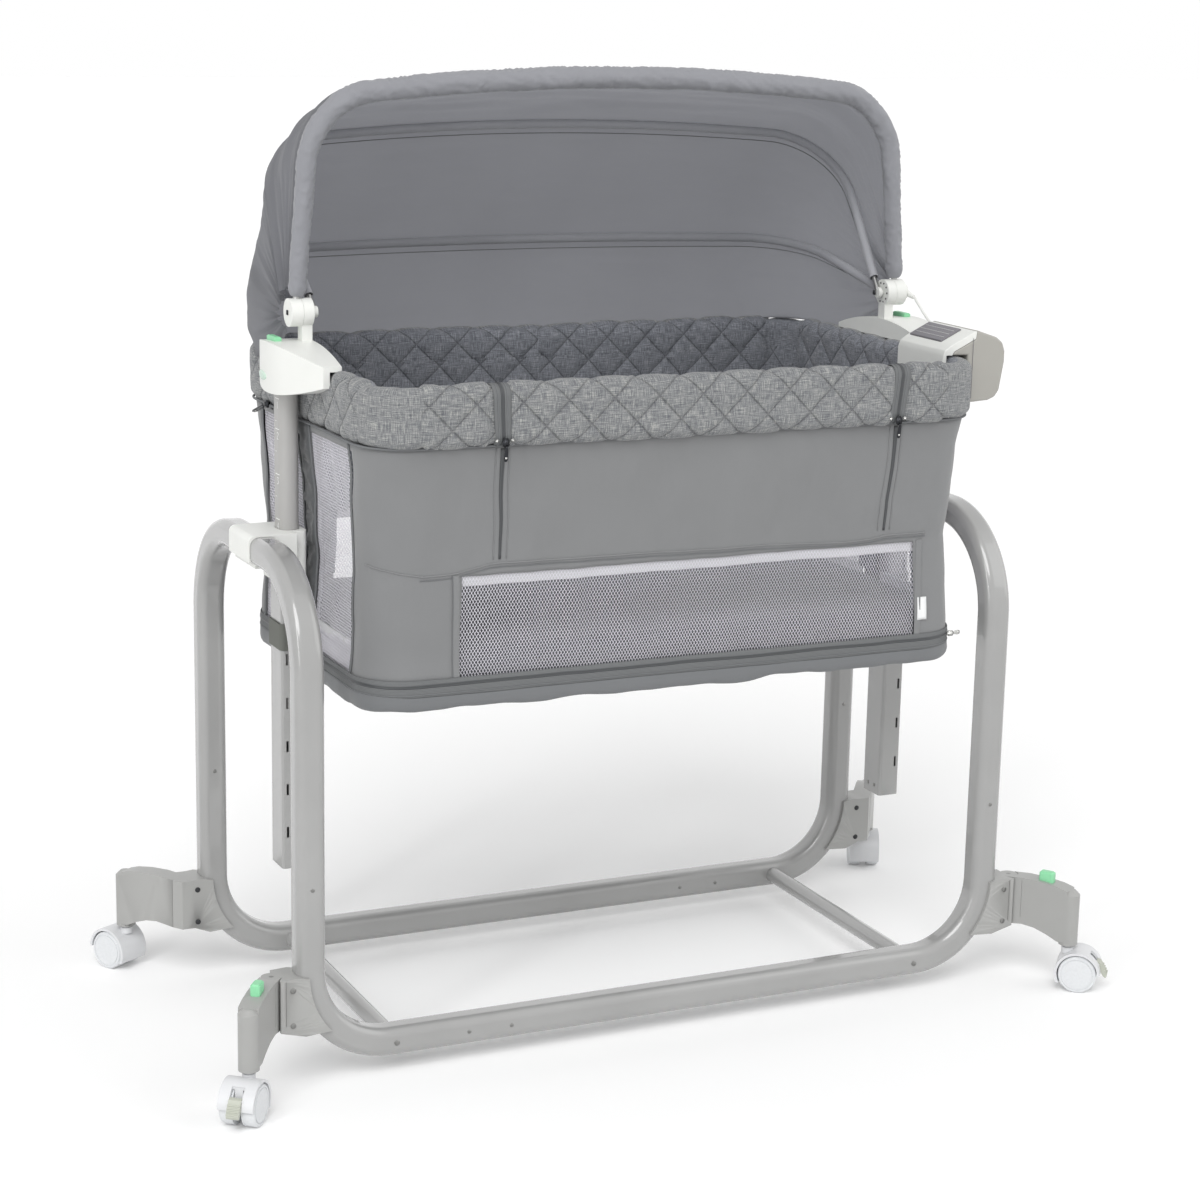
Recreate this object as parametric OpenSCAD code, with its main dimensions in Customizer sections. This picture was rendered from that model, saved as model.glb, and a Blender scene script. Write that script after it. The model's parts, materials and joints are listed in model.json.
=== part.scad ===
// Bassinet on a wheeled stand: a tubular steel stand carries a fabric cradle on two
// telescoping posts, with a folding hooped canopy and a soothing unit clipped on the rim.
// Millimetres, +X along the cradle, +Y towards its back, +Z up, origin on the floor under the centre.

/* [Stand] */
// Distance from the middle to the legs along the cradle
leg_x = 468; // [430:1:520]
// Distance from the middle to the legs across the cradle
leg_y = 194; // [170:1:230]
// Height of the centre line of the top bends
top_z = 619; // [590:1:690]
// Height of the centre line of the floor tubes
floor_z = 41; // [38:1:50]
// Width of the frame tube, measured along the cradle
tube_w = 36; // [30:1:38]
// Depth of the frame tube, measured across the cradle
tube_d = 34; // [28:1:38]
// Wall of the frame tube
tube_wall = 1.4; // [1:0.1:2]
// Bend radius at the top of each end frame
top_bend = 120; // [90:1:140]
// Bend radius where a leg turns into the floor tube
floor_bend = 100; // [80:1:105]
// Height of the joints in the front legs
front_seam_z = 275; // [250:1:310]
// Height of the joints in the rear legs
rear_seam_z = 315; // [290:1:350]
// Distance from the middle to the joint in each floor tube
floor_seam_x = 240; // [180:1:300]
// Distance from the middle to the crossbars
crossbar_x = 362; // [340:1:362]
// Diameter of the crossbars
crossbar_d = 22; // [18:1:26]

/* [Feet and casters] */
// Reach of the foot from the leg to its kink, along the cradle
kink_out = 46; // [42:1:60]
// Reach from the kink to the caster stem, along the cradle
stem_out = 51; // [40:1:70]
// Reach from the kink to the caster stem, across the cradle
stem_side = 72; // [60:1:90]
// Thickness of a foot where it grips the leg
grip_t = 42; // [41:1:46]
// Thickness of a foot outside its kink
arm_t = 25; // [22:1:27]
// Height of the underside of the stem post
foot_low = 60; // [59:1:66]
// Height of the top of a foot
foot_top = 143; // [137:1:150]
// Diameter of a caster wheel
wheel_d = 50; // [46:1:52]
// Width of one caster wheel
wheel_w = 16; // [12:1:17]
// Distance from the caster stem to the axle
trail = 16; // [12:1:20]

/* [Posts] */
// Distance from the middle to the posts
post_x = 427; // [427:1:432]
// Width of the outer post, measured along the cradle
post_w = 30; // [29:1:31]
// Depth of the outer post
post_d = 44; // [40:1:48]
// Wall of the outer post
post_wall = 1.5; // [1:0.1:1.6]
// Height of the foot of the outer posts
post_low = 211; // [190:1:230]
// Pitch of the height slots
slot_pitch = 55; // [50:1:60]
// Width of the inner post, measured along the cradle
inner_w = 25; // [24:0.5:26]
// Depth of the inner post
inner_d = 36; // [32:1:38]
// Height of the collars above the centre line of the top bends
collar_rise = 19; // [18:0.5:19]

/* [Cradle] */
// Half the length of the padded rim
rim_x = 408; // [400:1:408]
// Half the depth of the padded rim
rim_y = 252; // [240:1:260]
// Thickness of the padded rim
rim_t = 30; // [26:1:34]
// Height of the top of the rim
rim_top = 840; // [840:1:840]
// Height of the bottom of the rim
rim_low = 768; // [755:1:775]
// Half the length of the fabric at its waist
waist_x = 397; // [390:1:402]
// Half the depth of the fabric at its waist
waist_y = 223; // [215:1:230]
// Half the length of the fabric at its hem
hem_x = 404; // [395:1:407]
// Half the depth of the fabric at its hem
hem_y = 226; // [218:1:232]
// Height of the waist
waist_z = 614; // [590:1:640]
// Height of the underside of the cradle
cradle_low = 454; // [445:1:460]
// Height of the hem where the walls meet the base
hem_z = 480; // [475:1:485]
// Thickness of the fabric walls
cloth_t = 4; // [3:0.5:6]
// Thickness of the mattress with its stiffener
mattress_t = 44; // [35:1:55]

/* [Canopy] */
// Height of the hinge line of the canopy
hub_z = 899; // [890:1:910]
// Half the width of the canopy hoops at the hinge
hoop_w = 415; // [415:1:417]
// Radius from the hinge line to the crown of the hoops
hoop_h = 277; // [260:1:290]
// Corner radius of the hoops
hoop_r = 95; // [80:1:110]
// Diameter of the padded sleeve round the front hoop
sleeve_d = 27; // [24:1:28]
// Diameter of the hoop rods
rod_d = 8; // [6:0.5:8]
// Angle of the middle hoop behind the front hoop
mid_angle = 42; // [40:1:43]
// Angle of the rear hoop behind the front hoop
rear_angle = 79; // [77:1:82]
// Thickness of the canopy cloth
veil_t = 1.6; // [1.2:0.1:2]

/* [Soothing unit] */
// Position of the middle of the unit across the cradle
unit_y = -140; // [-140:1:-130]
// Width of the unit across the cradle
unit_w = 110; // [84:1:110]
// Length of the unit along the cradle
unit_l = 92; // [80:1:96]

/* [Hidden] */
$fn = 48;
gap = 0.2;
fit = 0.06;
bite = 30;

enamel = "#b0afad";
moulding = "#e6e7e3";
green = "#8fd9a8";
cloth = "#86878b";
heather = "#7d8085";
pale = "#d5d7da";

// ---- shared profiles and bends

module round_rect(w, h, r) {
    square([w - 2 * r, h], center = true);
    square([w, h - 2 * r], center = true);
    for (sx = [-1, 1], sy = [-1, 1])
        translate([sx * (w / 2 - r), sy * (h / 2 - r)]) circle(r);
}

// Frame tube section, grown by g on every side
module tube_section(g = 0) {
    round_rect(tube_w + 2 * g, tube_d + 2 * g, 11 + g);
}

// The same section laid down for a bend about Y: its width points along the radius
module bend_about_y(radius, a0, sweep, g) {
    rotate([90, 0, 0]) rotate([0, 0, a0])
        rotate_extrude(angle = sweep, $fn = 96) translate([radius, 0]) tube_section(g);
}

module bend_about_x(radius, a0, sweep, g) {
    rotate([90, 0, 90]) rotate([0, 0, a0])
        rotate_extrude(angle = sweep, $fn = 96) translate([radius, 0]) rotate([0, 0, 90]) tube_section(g);
}

// ---- end frames

// Inverted U in the YZ plane, open ends lengthened by extra
module u_sweep(g, extra = 0) {
    run = leg_y - top_bend;
    for (side = [[-1, front_seam_z], [1, rear_seam_z]]) {
        translate([0, side[0] * leg_y, side[1] - extra])
            linear_extrude(top_z - top_bend - side[1] + extra) tube_section(g);
        mirror([0, side[0] < 0 ? 1 : 0, 0])
            translate([0, run, top_z - top_bend]) bend_about_x(top_bend, 0, 90, g);
    }
    translate([0, 0, top_z]) rotate([90, 0, 0])
        linear_extrude(2 * run, center = true) tube_section(g);
}

module u_frame(side) {
    color(enamel) translate([side * leg_x, 0, 0]) difference() {
        u_sweep(0);
        u_sweep(-tube_wall, 1);
    }
}

// ---- floor tubes

// Leg stub, bend and floor run of one corner at +X, from z = high down and along to x = reach
module j_sweep(g, high, reach) {
    bend_top = floor_z + floor_bend;
    translate([leg_x, 0, bend_top]) linear_extrude(high - bend_top) tube_section(g);
    translate([leg_x - floor_bend, 0, bend_top]) bend_about_y(floor_bend, -90, 90, g);
    translate([reach, 0, floor_z]) rotate([0, 90, 0])
        linear_extrude(leg_x - floor_bend - reach) tube_section(g);
}

// Tube with a reduced spigot up into the leg, and one along into the next floor tube
module j_tube(seam_z, reach, joins) {
    inner = -tube_wall - fit;
    difference() {
        union() {
            j_sweep(0, seam_z, reach);
            translate([leg_x, 0, seam_z - bite]) linear_extrude(2 * bite) tube_section(inner);
            if (joins) translate([reach - bite, 0, floor_z]) rotate([0, 90, 0])
                linear_extrude(2 * bite) tube_section(inner);
        }
        j_sweep(-tube_wall, seam_z - bite, reach + (joins ? bite : -1));
        translate([leg_x, 0, seam_z - bite - 1])
            linear_extrude(2 * bite + 2) tube_section(inner - tube_wall);
        if (joins) translate([reach - bite - 1, 0, floor_z]) rotate([0, 90, 0])
            linear_extrude(2 * bite + 2) tube_section(inner - tube_wall);
    }
}

module floor_tube(side, seam_z, reach, joins) {
    color(enamel) mirror([side[0] < 0 ? 1 : 0, 0, 0])
        translate([0, side[1] * leg_y, 0]) j_tube(seam_z, reach, joins);
}

module crossbars() {
    color(enamel) for (sx = [-1, 1])
        translate([sx * crossbar_x, 0, floor_z]) rotate([90, 0, 0]) difference() {
            cylinder(d = crossbar_d, h = 2 * leg_y - tube_d, center = true);
            cylinder(d = crossbar_d - 3, h = 2 * leg_y - tube_d + 2, center = true);
        }
}

screw_out = 26;
screw_z = [84, 128];

// Dome head standing on a face that looks along -Y
module head(d, h) {
    rotate([90, 0, 0]) intersection() {
        cylinder(d = d, h = h);
        translate([0, 0, h - d]) sphere(d = 2 * d);
    }
}

module frame_fasteners() {
    color("#9b9a97") {
        for (sx = [-1, 1]) {
            translate([sx * crossbar_x, -leg_y - tube_d / 2, floor_z]) head(7, 1.6);
            translate([sx * crossbar_x, leg_y + tube_d / 2, floor_z]) mirror([0, 1, 0]) head(7, 1.6);
            for (sy = [-1, 1], z = screw_z)
                translate([sx * (leg_x + screw_out), sy * leg_y - grip_t / 2, z]) head(7, 1.6);
            translate([sx * leg_x, -leg_y - tube_d / 2, front_seam_z - 28]) head(5, 1);
            translate([sx * leg_x, leg_y - tube_d / 2, rear_seam_z - 30]) head(5, 1);
            for (side = [-1, 1])
                translate([side * floor_seam_x + sx * 28, side * leg_y - tube_d / 2, floor_z]) head(5, 1);
        }
        for (dy = [-8, 8])
            translate([post_x - post_w / 2, dy, post_low + 12]) rotate([0, 0, -90]) head(5, 1.2);
    }
}

// ---- feet

arm_low = 76;
arm_top = foot_top - 2;

// Side outline of the grip, in X and Z, with its inner edge following the bend of the leg
module grip_outline(out_to) {
    difference() {
        polygon([[leg_x - 45, 72], [leg_x + 10, 68], [leg_x + out_to, arm_low],
            [leg_x + out_to, arm_top], [leg_x + 20, foot_top - 1], [leg_x + 5, foot_top - 4],
            [leg_x - 45, foot_top - 4]]);
        translate([leg_x - floor_bend, floor_z + floor_bend]) circle(floor_bend + 5, $fn = 96);
        translate([leg_x - 60, floor_z + floor_bend]) square([65, 60]);
    }
}

module grip(out_to) {
    difference() {
        rotate([90, 0, 0]) linear_extrude(grip_t, center = true) grip_outline(out_to);
        j_sweep(gap / 2, foot_top + 20, leg_x - floor_bend - 30);
    }
}

// Arm from the kink to the stem post, drawn with the kink at the origin
arm_len = sqrt(stem_out * stem_out + stem_side * stem_side);
arm_dir = atan2(stem_side, stem_out);
post_r = arm_t / 2;
stem_d = 9;

module arm_outline(start) {
    polygon([[start, arm_low], [arm_len * 0.3, arm_low + 3], [arm_len * 0.5, arm_low + 1],
        [arm_len * 0.7, arm_low - 5], [arm_len - post_r + 1, foot_low + 4], [arm_len, foot_low + 4],
        [arm_len, foot_top - 8], [arm_len * 0.85, foot_top - 4], [arm_len * 0.6, foot_top - 1],
        [arm_len * 0.3, foot_top], [start, arm_top]]);
}

module arm_body(start) {
    difference() {
        union() {
            rotate([90, 0, 0]) linear_extrude(arm_t, center = true) arm_outline(start);
            translate([arm_len, 0, foot_low]) cylinder(r = post_r, h = foot_top - 14 - foot_low);
            translate([arm_len, 0, foot_top - 14]) cylinder(r1 = post_r, r2 = post_r - 6, h = 6);
        }
        translate([arm_len, 0, foot_low - 1]) cylinder(d = stem_d + 2 * fit, h = 31);
    }
}

// Places children with the origin at the kink of one foot and +X along its arm
module at_kink(side) {
    mirror([side[0] < 0 ? 1 : 0, 0, 0]) mirror([0, side[1] < 0 ? 1 : 0, 0])
        translate([leg_x + kink_out, leg_y, 0]) rotate([0, 0, arm_dir]) children();
}

module at_leg(side) {
    mirror([side[0] < 0 ? 1 : 0, 0, 0]) mirror([0, side[1] < 0 ? 1 : 0, 0])
        translate([0, leg_y, 0]) children();
}

// Plan of a rear foot at its bend: the grip runs on at full width until the arm's outer face cuts it
module bend_plan() {
    half = grip_t / 2;
    across = [-sin(arm_dir), cos(arm_dir)];
    along = [cos(arm_dir), sin(arm_dir)];
    corner = -post_r * across + (post_r * across[1] - half) / along[1] * along;
    inner = post_r * across + (half - post_r * across[1]) / along[1] * along;
    polygon([[-18, -half], corner, corner + 16 * along, inner, [-18, half]]);
}

module rear_foot(sx) {
    color(enamel) union() {
        at_leg([sx, 1]) grip(kink_out - 16);
        at_leg([sx, 1]) translate([leg_x + kink_out, 0, arm_low]) linear_extrude(arm_top - arm_low) bend_plan();
        at_kink([sx, 1]) arm_body(0);
    }
}

pin_d = 6;
swing_gap = 0.6;
knuckle_low = 88;
knuckle_high = 130;

// Fixed half of a front foot: the grip is hollowed round the arm's knuckle, which turns
// between two lugs
module front_foot(sx) {
    lugs = [[arm_low, knuckle_low - gap], [knuckle_high + gap, arm_top]];
    color(enamel) difference() {
        union() {
            difference() {
                at_leg([sx, -1]) {
                    grip(kink_out - 5);
                    for (lug = lugs) translate([leg_x + kink_out - post_r - 3, 1 - post_r, lug[0]])
                        cube([post_r + 3, 2 * post_r - 2, lug[1] - lug[0]]);
                }
                at_kink([sx, -1]) {
                    translate([0, 0, knuckle_low - gap]) cylinder(r = post_r + swing_gap,
                        h = knuckle_high - knuckle_low + 2 * gap);
                    translate([0, -post_r - 2 * swing_gap, foot_low])
                        cube([40, 2 * post_r + 4 * swing_gap, foot_top - foot_low + 10]);
                }
                at_leg([sx, -1]) translate([leg_x + 34, grip_t / 2 - 0.8, knuckle_low - 4])
                    cube([0.9, 2, foot_top - knuckle_low]);
            }
            for (lug = lugs) at_kink([sx, -1]) translate([0, 0, lug[0]])
                cylinder(r = post_r, h = lug[1] - lug[0]);
        }
        at_kink([sx, -1]) translate([0, 0, foot_low]) cylinder(d = pin_d + 2 * fit, h = foot_top - foot_low + 5);
    }
}

module foot_hinge_pins() {
    color("#8a8987") for (sx = [-1, 1])
        at_kink([sx, -1]) translate([0, 0, arm_low + 2]) cylinder(d = pin_d, h = arm_top - arm_low - 2);
}

button_l = 20;
button_t = 12;

// Swinging half of a front foot, with a pocket for its release button
module front_arm(sx) {
    color(enamel) at_kink([sx, -1]) difference() {
        union() {
            arm_body(0);
            translate([0, 0, knuckle_low]) cylinder(r = post_r, h = knuckle_high - knuckle_low);
        }
        translate([0, 0, foot_low]) cylinder(r = post_r + swing_gap, h = knuckle_low - foot_low);
        translate([0, 0, knuckle_high]) cylinder(r = post_r + swing_gap, h = foot_top - knuckle_high + 5);
        translate([0, 0, foot_low]) cylinder(d = pin_d + 2 * fit, h = foot_top - foot_low);
        translate([24, post_r - 0.7, knuckle_low]) cube([0.9, 2, foot_top - knuckle_low - 5]);
        translate([arm_len * 0.62, 0, foot_top - 16])
            linear_extrude(30) round_rect(button_l + 2 * gap, button_t + 2 * gap, 3);
    }
}

module foot_button(sx) {
    color(green) at_kink([sx, -1]) translate([arm_len * 0.62, 0, foot_top - 11]) {
        linear_extrude(21) round_rect(button_l, button_t, 3);
        translate([0, 0, 21]) linear_extrude(1.5) round_rect(button_l - 3, button_t - 3, 2);
    }
}

// ---- casters, drawn with the stem on Z and the wheels trailing along +X

axle_d = 6;
hood_t = 10;
hood_r = wheel_d / 2 + 5;
wheel_gap = 0.8;
pedal_pin = [26, 13];
pedal_w = 15.4;

module caster_hood(braked) {
    span = 2 * wheel_w + hood_t + 2;
    color(pale) difference() {
        union() {
            translate([trail, 0, wheel_d / 2]) rotate([90, 0, 0]) {
                cylinder(r = hood_r, h = hood_t, center = true);
                difference() {
                    cylinder(r = hood_r, h = span, center = true);
                    cylinder(r = wheel_d / 2 + 1.6, h = span + 4, center = true);
                }
            }
            translate([0, 0, wheel_d - 1.4]) cylinder(r = 8, h = foot_low - 3.5 - wheel_d + 1.4);
            translate([0, 0, foot_low - 4]) cylinder(r = 6, h = 2.6);
            translate([0, 0, foot_low - 4]) cylinder(d = stem_d, h = 32);
        }
        translate([trail - 60, -40, -30]) cube([120, 80, 42]);
        translate([trail, -40, -30]) rotate([0, -24, 0]) cube([90, 80, 40]);
        translate([trail, 0, wheel_d / 2]) rotate([90, 0, 0])
            cylinder(d = axle_d + 2 * fit, h = 80, center = true);
        if (braked) translate([trail, 0, wheel_d / 2]) rotate([90, 0, 0])
            linear_extrude(16, center = true) polygon([[19, -8], [50, -8], [50, 26], [14, 26]]);
    }
    if (braked) color(pale) translate([trail + pedal_pin[0], 0, wheel_d / 2 + pedal_pin[1]])
        rotate([90, 0, 0]) cylinder(d = 3, h = 20, center = true);
}

module caster_wheels() {
    color("#dcdee0") translate([trail, 0, wheel_d / 2]) rotate([90, 0, 0]) {
        cylinder(d = axle_d, h = hood_t + 2 * wheel_gap + 2, center = true);
        for (s = [-1, 1]) mirror([0, 0, s < 0 ? 1 : 0])
            translate([0, 0, hood_t / 2 + wheel_gap]) difference() {
                union() {
                    cylinder(d = wheel_d, h = wheel_w - 2);
                    translate([0, 0, wheel_w - 2]) cylinder(d1 = wheel_d, d2 = wheel_d - 3, h = 2);
                }
                translate([0, 0, wheel_w - 0.8])
                    rotate_extrude($fn = 64) translate([wheel_d / 2 - 5, 0]) square([1.2, 2]);
            }
    }
}

module caster_brake() {
    color("#b9bcb0") translate([trail, 0, wheel_d / 2]) rotate([90, 0, 0]) difference() {
        union() {
            linear_extrude(pedal_w, center = true)
                polygon([[23.5, 16.5], [28.5, 15.5], [34, 7], [38, -2], [36.5, -5], [33, -3],
                    [29.6, 3], [27, 9]]);
            translate([pedal_pin[0], pedal_pin[1], 0]) cylinder(r = 2.8, h = pedal_w, center = true);
            for (i = [0:3]) translate([37.4 - i * 1.7, 0.5 + i * 3.2, 0])
                cylinder(r = 1, h = pedal_w, center = true);
        }
        translate([pedal_pin[0], pedal_pin[1], 0]) cylinder(d = 3 + 2 * fit, h = pedal_w + 2, center = true);
    }
}

// Places children with the origin under the stem of one caster, trailing towards dir
module at_stem(side, dir) {
    translate([side[0] * (leg_x + kink_out + stem_out), side[1] * (leg_y + stem_side), 0])
        rotate([0, 0, dir]) children();
}

dir_fl = -129;
dir_fr = -40;
dir_rl = 120;
dir_rr = 65;

// ---- posts

collar_top = top_z + collar_rise;
post_high = collar_top - 6;
slot_z = post_low + 40;
strap_low = hem_z + 10;
strap_high = strap_low + 33;
shoe_low = 380;
shoe_t = 14;
stub_high = rim_top - 10;

module outer_post(sx) {
    color(enamel) translate([sx * post_x, 0, 0]) difference() {
        translate([0, 0, post_low]) linear_extrude(post_high - post_low) round_rect(post_w, post_d, 4);
        translate([0, 0, post_low + 3]) linear_extrude(post_high - post_low)
            round_rect(post_w - 2 * post_wall, post_d - 2 * post_wall, 2.5);
        for (i = [0:5]) translate([sx * 8, -post_d / 2, slot_z + i * slot_pitch + 7])
            cube([3, 8, 14], center = true);
    }
}

module inner_section(g) {
    round_rect(inner_w + 2 * g, inner_d + 2 * g, inner_w / 2 - 0.5 + g);
}

module inner_post(sx) {
    color("#a9a7a3") translate([sx * post_x, 0, shoe_low + shoe_t]) difference() {
        linear_extrude(stub_high - shoe_low - shoe_t) inner_section(0);
        translate([0, 0, -1]) linear_extrude(stub_high - shoe_low - shoe_t + 2) inner_section(-1.5);
    }
}

module slider_shoes() {
    color("#55565a") for (sx = [-1, 1]) translate([sx * post_x, 0, shoe_low]) {
        linear_extrude(shoe_t)
            round_rect(post_w - 2 * post_wall - gap, post_d - 2 * post_wall - gap, 2.3);
        linear_extrude(shoe_t + 24) inner_section(-1.5 - fit);
    }
}

collar_low = top_z - 39;
collar_in = rim_x + 1.2;

module post_collars() {
    color(moulding) for (sx = [-1, 1]) mirror([sx < 0 ? 1 : 0, 0, 0]) difference() {
        union() {
            translate([post_x, 0, collar_low]) linear_extrude(collar_top - collar_low)
                round_rect(2 * (post_x - collar_in), post_d + 8, 8);
            rotate([90, 0, 0]) linear_extrude(78, center = true) {
                translate([post_x, top_z - 21]) square([leg_x + 20 - post_x - 8, collar_top - top_z + 21]);
                translate([post_x + 10, top_z - 13]) square([leg_x + 20 - post_x - 10, collar_top - top_z + 5]);
                translate([leg_x + 12, collar_top - 8]) circle(8);
            }
            translate([post_x + 4, -13, collar_low - 1]) cube([22, 26, 30]);
        }
        rotate([90, 0, 0]) linear_extrude(200, center = true) translate([leg_x, top_z]) tube_section(gap / 2);
        translate([post_x, 0, collar_low - 10]) linear_extrude(post_high - collar_low + 10)
            round_rect(post_w + gap, post_d + gap, 4.1);
        translate([post_x, 0, collar_low]) linear_extrude(100) inner_section(0.5);
    }
}

module post_straps() {
    color("#6f7172") for (sx = [-1, 1]) mirror([sx < 0 ? 1 : 0, 0, 0])
        translate([0, 0, strap_low]) difference() {
            union() {
                translate([post_x, 0, 0]) linear_extrude(strap_high - strap_low)
                    round_rect(post_w + 4.6, post_d + 4.6, 6);
                translate([hem_x + 0.4, -post_d / 2 - 2, 0]) cube([12, post_d + 4, strap_high - strap_low]);
            }
            translate([post_x, 0, -1]) linear_extrude(strap_high - strap_low + 2)
                round_rect(post_w + 0.6, post_d + 0.6, 4.3);
        }
}

// ---- cradle

bracket_in = rim_x + 0.8;
bracket_low = rim_top - 36;
bracket_top = rim_top + 25;
bracket_y = 107;
lens_r = 327;

module end_bracket(sx) {
    color(moulding) mirror([sx < 0 ? 1 : 0, 0, 0]) difference() {
        intersection() {
            translate([0, 0, bracket_low - 4]) linear_extrude(80) intersection() {
                translate([post_x - 167, 0]) circle(190);
                translate([upright_in - 2, sx > 0 ? unit_y + unit_w / 2 + 0.6 : -bracket_y])
                    square([post_x, bracket_y + (sx > 0 ? -unit_y - unit_w / 2 - 0.6 : bracket_y)]);
            }
            translate([0, 0, bracket_top - lens_r]) rotate([0, 90, 0]) cylinder(r = lens_r, h = 2 * post_x, $fn = 96);
            translate([0, 0, bracket_low + lens_r]) rotate([0, 90, 0]) cylinder(r = lens_r, h = 2 * post_x, $fn = 96);
        }
        translate([0, -rim_y, rim_low]) cube([bracket_in, 2 * rim_y, rim_top + 1 - rim_low]);
        translate([post_x, 0, rim_low]) linear_extrude(stub_high + gap - rim_low) inner_section(fit);
        translate([upright_in - 0.3, -8.3, bracket_top - 1]) cube([upright_t + 0.6, 16.6, 10]);
        translate([post_x + 4.7, -0.3, bracket_top - 13]) cube([9.6, 30.6, 30]);
    }
}

module release_button(sx) {
    color(green) mirror([sx < 0 ? 1 : 0, 0, 0]) translate([post_x + 5, 0, bracket_top - 7]) {
        cube([9, 30, 11]);
        translate([1, 1, 10.9]) cube([7, 28, 1]);
    }
}

// Closed rounded ring with a section drawn as radial offset and height
module ring(hx, hy, r) {
    for (sx = [-1, 1], sy = [-1, 1]) mirror([sx < 0 ? 1 : 0, 0, 0]) mirror([0, sy < 0 ? 1 : 0, 0])
        translate([hx - r, hy - r, 0]) rotate_extrude(angle = 90, $fn = 64) translate([r, 0]) children();
    for (sx = [-1, 1]) {
        translate([sx * hx, 0, 0]) rotate([90, 0, 0]) linear_extrude(2 * (hy - r), center = true) children();
        translate([-hx + r, sx * hy, 0]) rotate([90, 0, 90]) linear_extrude(2 * (hx - r)) children();
    }
}

rail_z = rim_top - 19;
rail_r = 8;
ring_r = 60;

module rim_rail() {
    color("#9c9c9c") ring(rim_x - rim_t / 2, rim_y - rim_t / 2, ring_r - rim_t / 2)
        translate([0, rail_z]) difference() {
            circle(rail_r);
            circle(rail_r - 1.2);
        }
}

module padded_rim() {
    color(cloth) ring(rim_x - rim_t / 2, rim_y - rim_t / 2, ring_r - rim_t / 2) difference() {
        translate([0, (rim_top + rim_low) / 2]) round_rect(rim_t, rim_top - rim_low, 13);
        translate([0, rail_z]) circle(rail_r + gap);
    }
}

top_x = rim_x - 3;
top_y = rim_y - 14;
levels = [[hem_z, hem_x, hem_y], [waist_z, waist_x, waist_y], [rim_low, top_x, top_y]];

// Solid bounded by the outside of the fabric, drawn in by g and lengthened by extra
module fabric_body(g, extra) {
    for (i = [0, 1]) hull() {
        low = levels[i];
        high = levels[i + 1];
        translate([0, 0, low[0] - (i == 0 ? extra : 0)])
            linear_extrude(0.1) round_rect(2 * (low[1] - g), 2 * (low[2] - g), ring_r - g, $fn = 32);
        translate([0, 0, high[0] + (i == 1 ? extra : 0.1) - 0.1])
            linear_extrude(0.1) round_rect(2 * (high[1] - g), 2 * (high[2] - g), ring_r - g, $fn = 32);
    }
}

module fabric_shell(out, in) {
    difference() {
        fabric_body(out, 0);
        fabric_body(in, 1);
    }
}

corner_x = waist_x - 57;
corner_y = waist_y - 57;
window_low = hem_z + 10;
window_high = waist_z - 2;

band_y = 22;
panel_y = 157;

module window_boxes() {
    translate([-290, -2 * rim_y, window_low]) cube([618, 4 * rim_y, window_high - window_low]);
    for (s = [-1, 1]) mirror([0, s < 0 ? 1 : 0, 0])
        translate([-2 * rim_x, band_y, window_low])
            cube([4 * rim_x, panel_y - band_y, rim_low - 10 - window_low]);
}

// Sector of the plan that belongs to one wall: turn 0 front, 1 right, 2 rear, 3 left
module sector(turn) {
    long = turn == 0 || turn == 2;
    s = turn == 0 || turn == 3 ? -1 : 1;
    translate([0, 0, cradle_low]) linear_extrude(rim_top - cradle_low)
        if (long) polygon([[-corner_x, s * corner_y], [corner_x, s * corner_y],
            [corner_x + 150, s * (corner_y + 150)], [-corner_x - 150, s * (corner_y + 150)]]);
        else polygon([[s * corner_x, -corner_y], [s * corner_x, corner_y],
            [s * (corner_x + 150), corner_y + 150], [s * (corner_x + 150), -corner_y - 150]]);
}

module wall(turn) {
    color(cloth) intersection() {
        difference() {
            fabric_shell(0, cloth_t);
            window_boxes();
        }
        sector(turn);
    }
}

module mesh_windows() {
    color("#d8d6de") intersection() {
        fabric_shell(cloth_t * 0.3, cloth_t * 0.7);
        window_boxes();
    }
}

module base_tray() {
    color(cloth) translate([0, 0, cradle_low])
        linear_extrude(hem_z - cradle_low) round_rect(2 * hem_x + 3, 2 * hem_y + 1, ring_r);
}

module mattress() {
    color("#e9e6e2") translate([0, 0, hem_z])
        linear_extrude(mattress_t) round_rect(2 * waist_x - 2 * cloth_t - 3, 2 * waist_y - 2 * cloth_t - 3, 55);
}

// ---- canopy: hoops are drawn upright with the hinge line on X, then tilted back

hoop_lean = 4.8;
crown_r = 3000;
upright_in = hoop_w - 19;
upright_t = 13;
rotor_in = upright_in + upright_t + 0.3;
rotor_t = 14.7;
hub_r = 17;
hub_pin_d = 8;
eye_x = hoop_w - 25;
eye_pin_d = 6;
rear_x = hoop_w - 12.5;
thin_d = 7;

// Centre of the corner arcs, from the lean of the legs and the curve of the crown
lean_tan = tan(hoop_lean);
drop = hoop_h - crown_r;
inside = hoop_w - hoop_r / cos(hoop_lean);
mixed = drop + inside * lean_tan;
corner_cz = (mixed + sqrt(mixed * mixed - (1 + lean_tan * lean_tan)
    * (drop * drop + inside * inside - (crown_r - hoop_r) * (crown_r - hoop_r)))) / (1 + lean_tan * lean_tan);
corner_cx = inside - lean_tan * corner_cz;
crown_a = atan2(corner_cz - drop, corner_cx);

function leg_lean(w, off) = atan2(w - corner_cx, corner_cz)
    - asin((hoop_r + off) / sqrt((w - corner_cx) * (w - corner_cx) + corner_cz * corner_cz));

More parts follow.
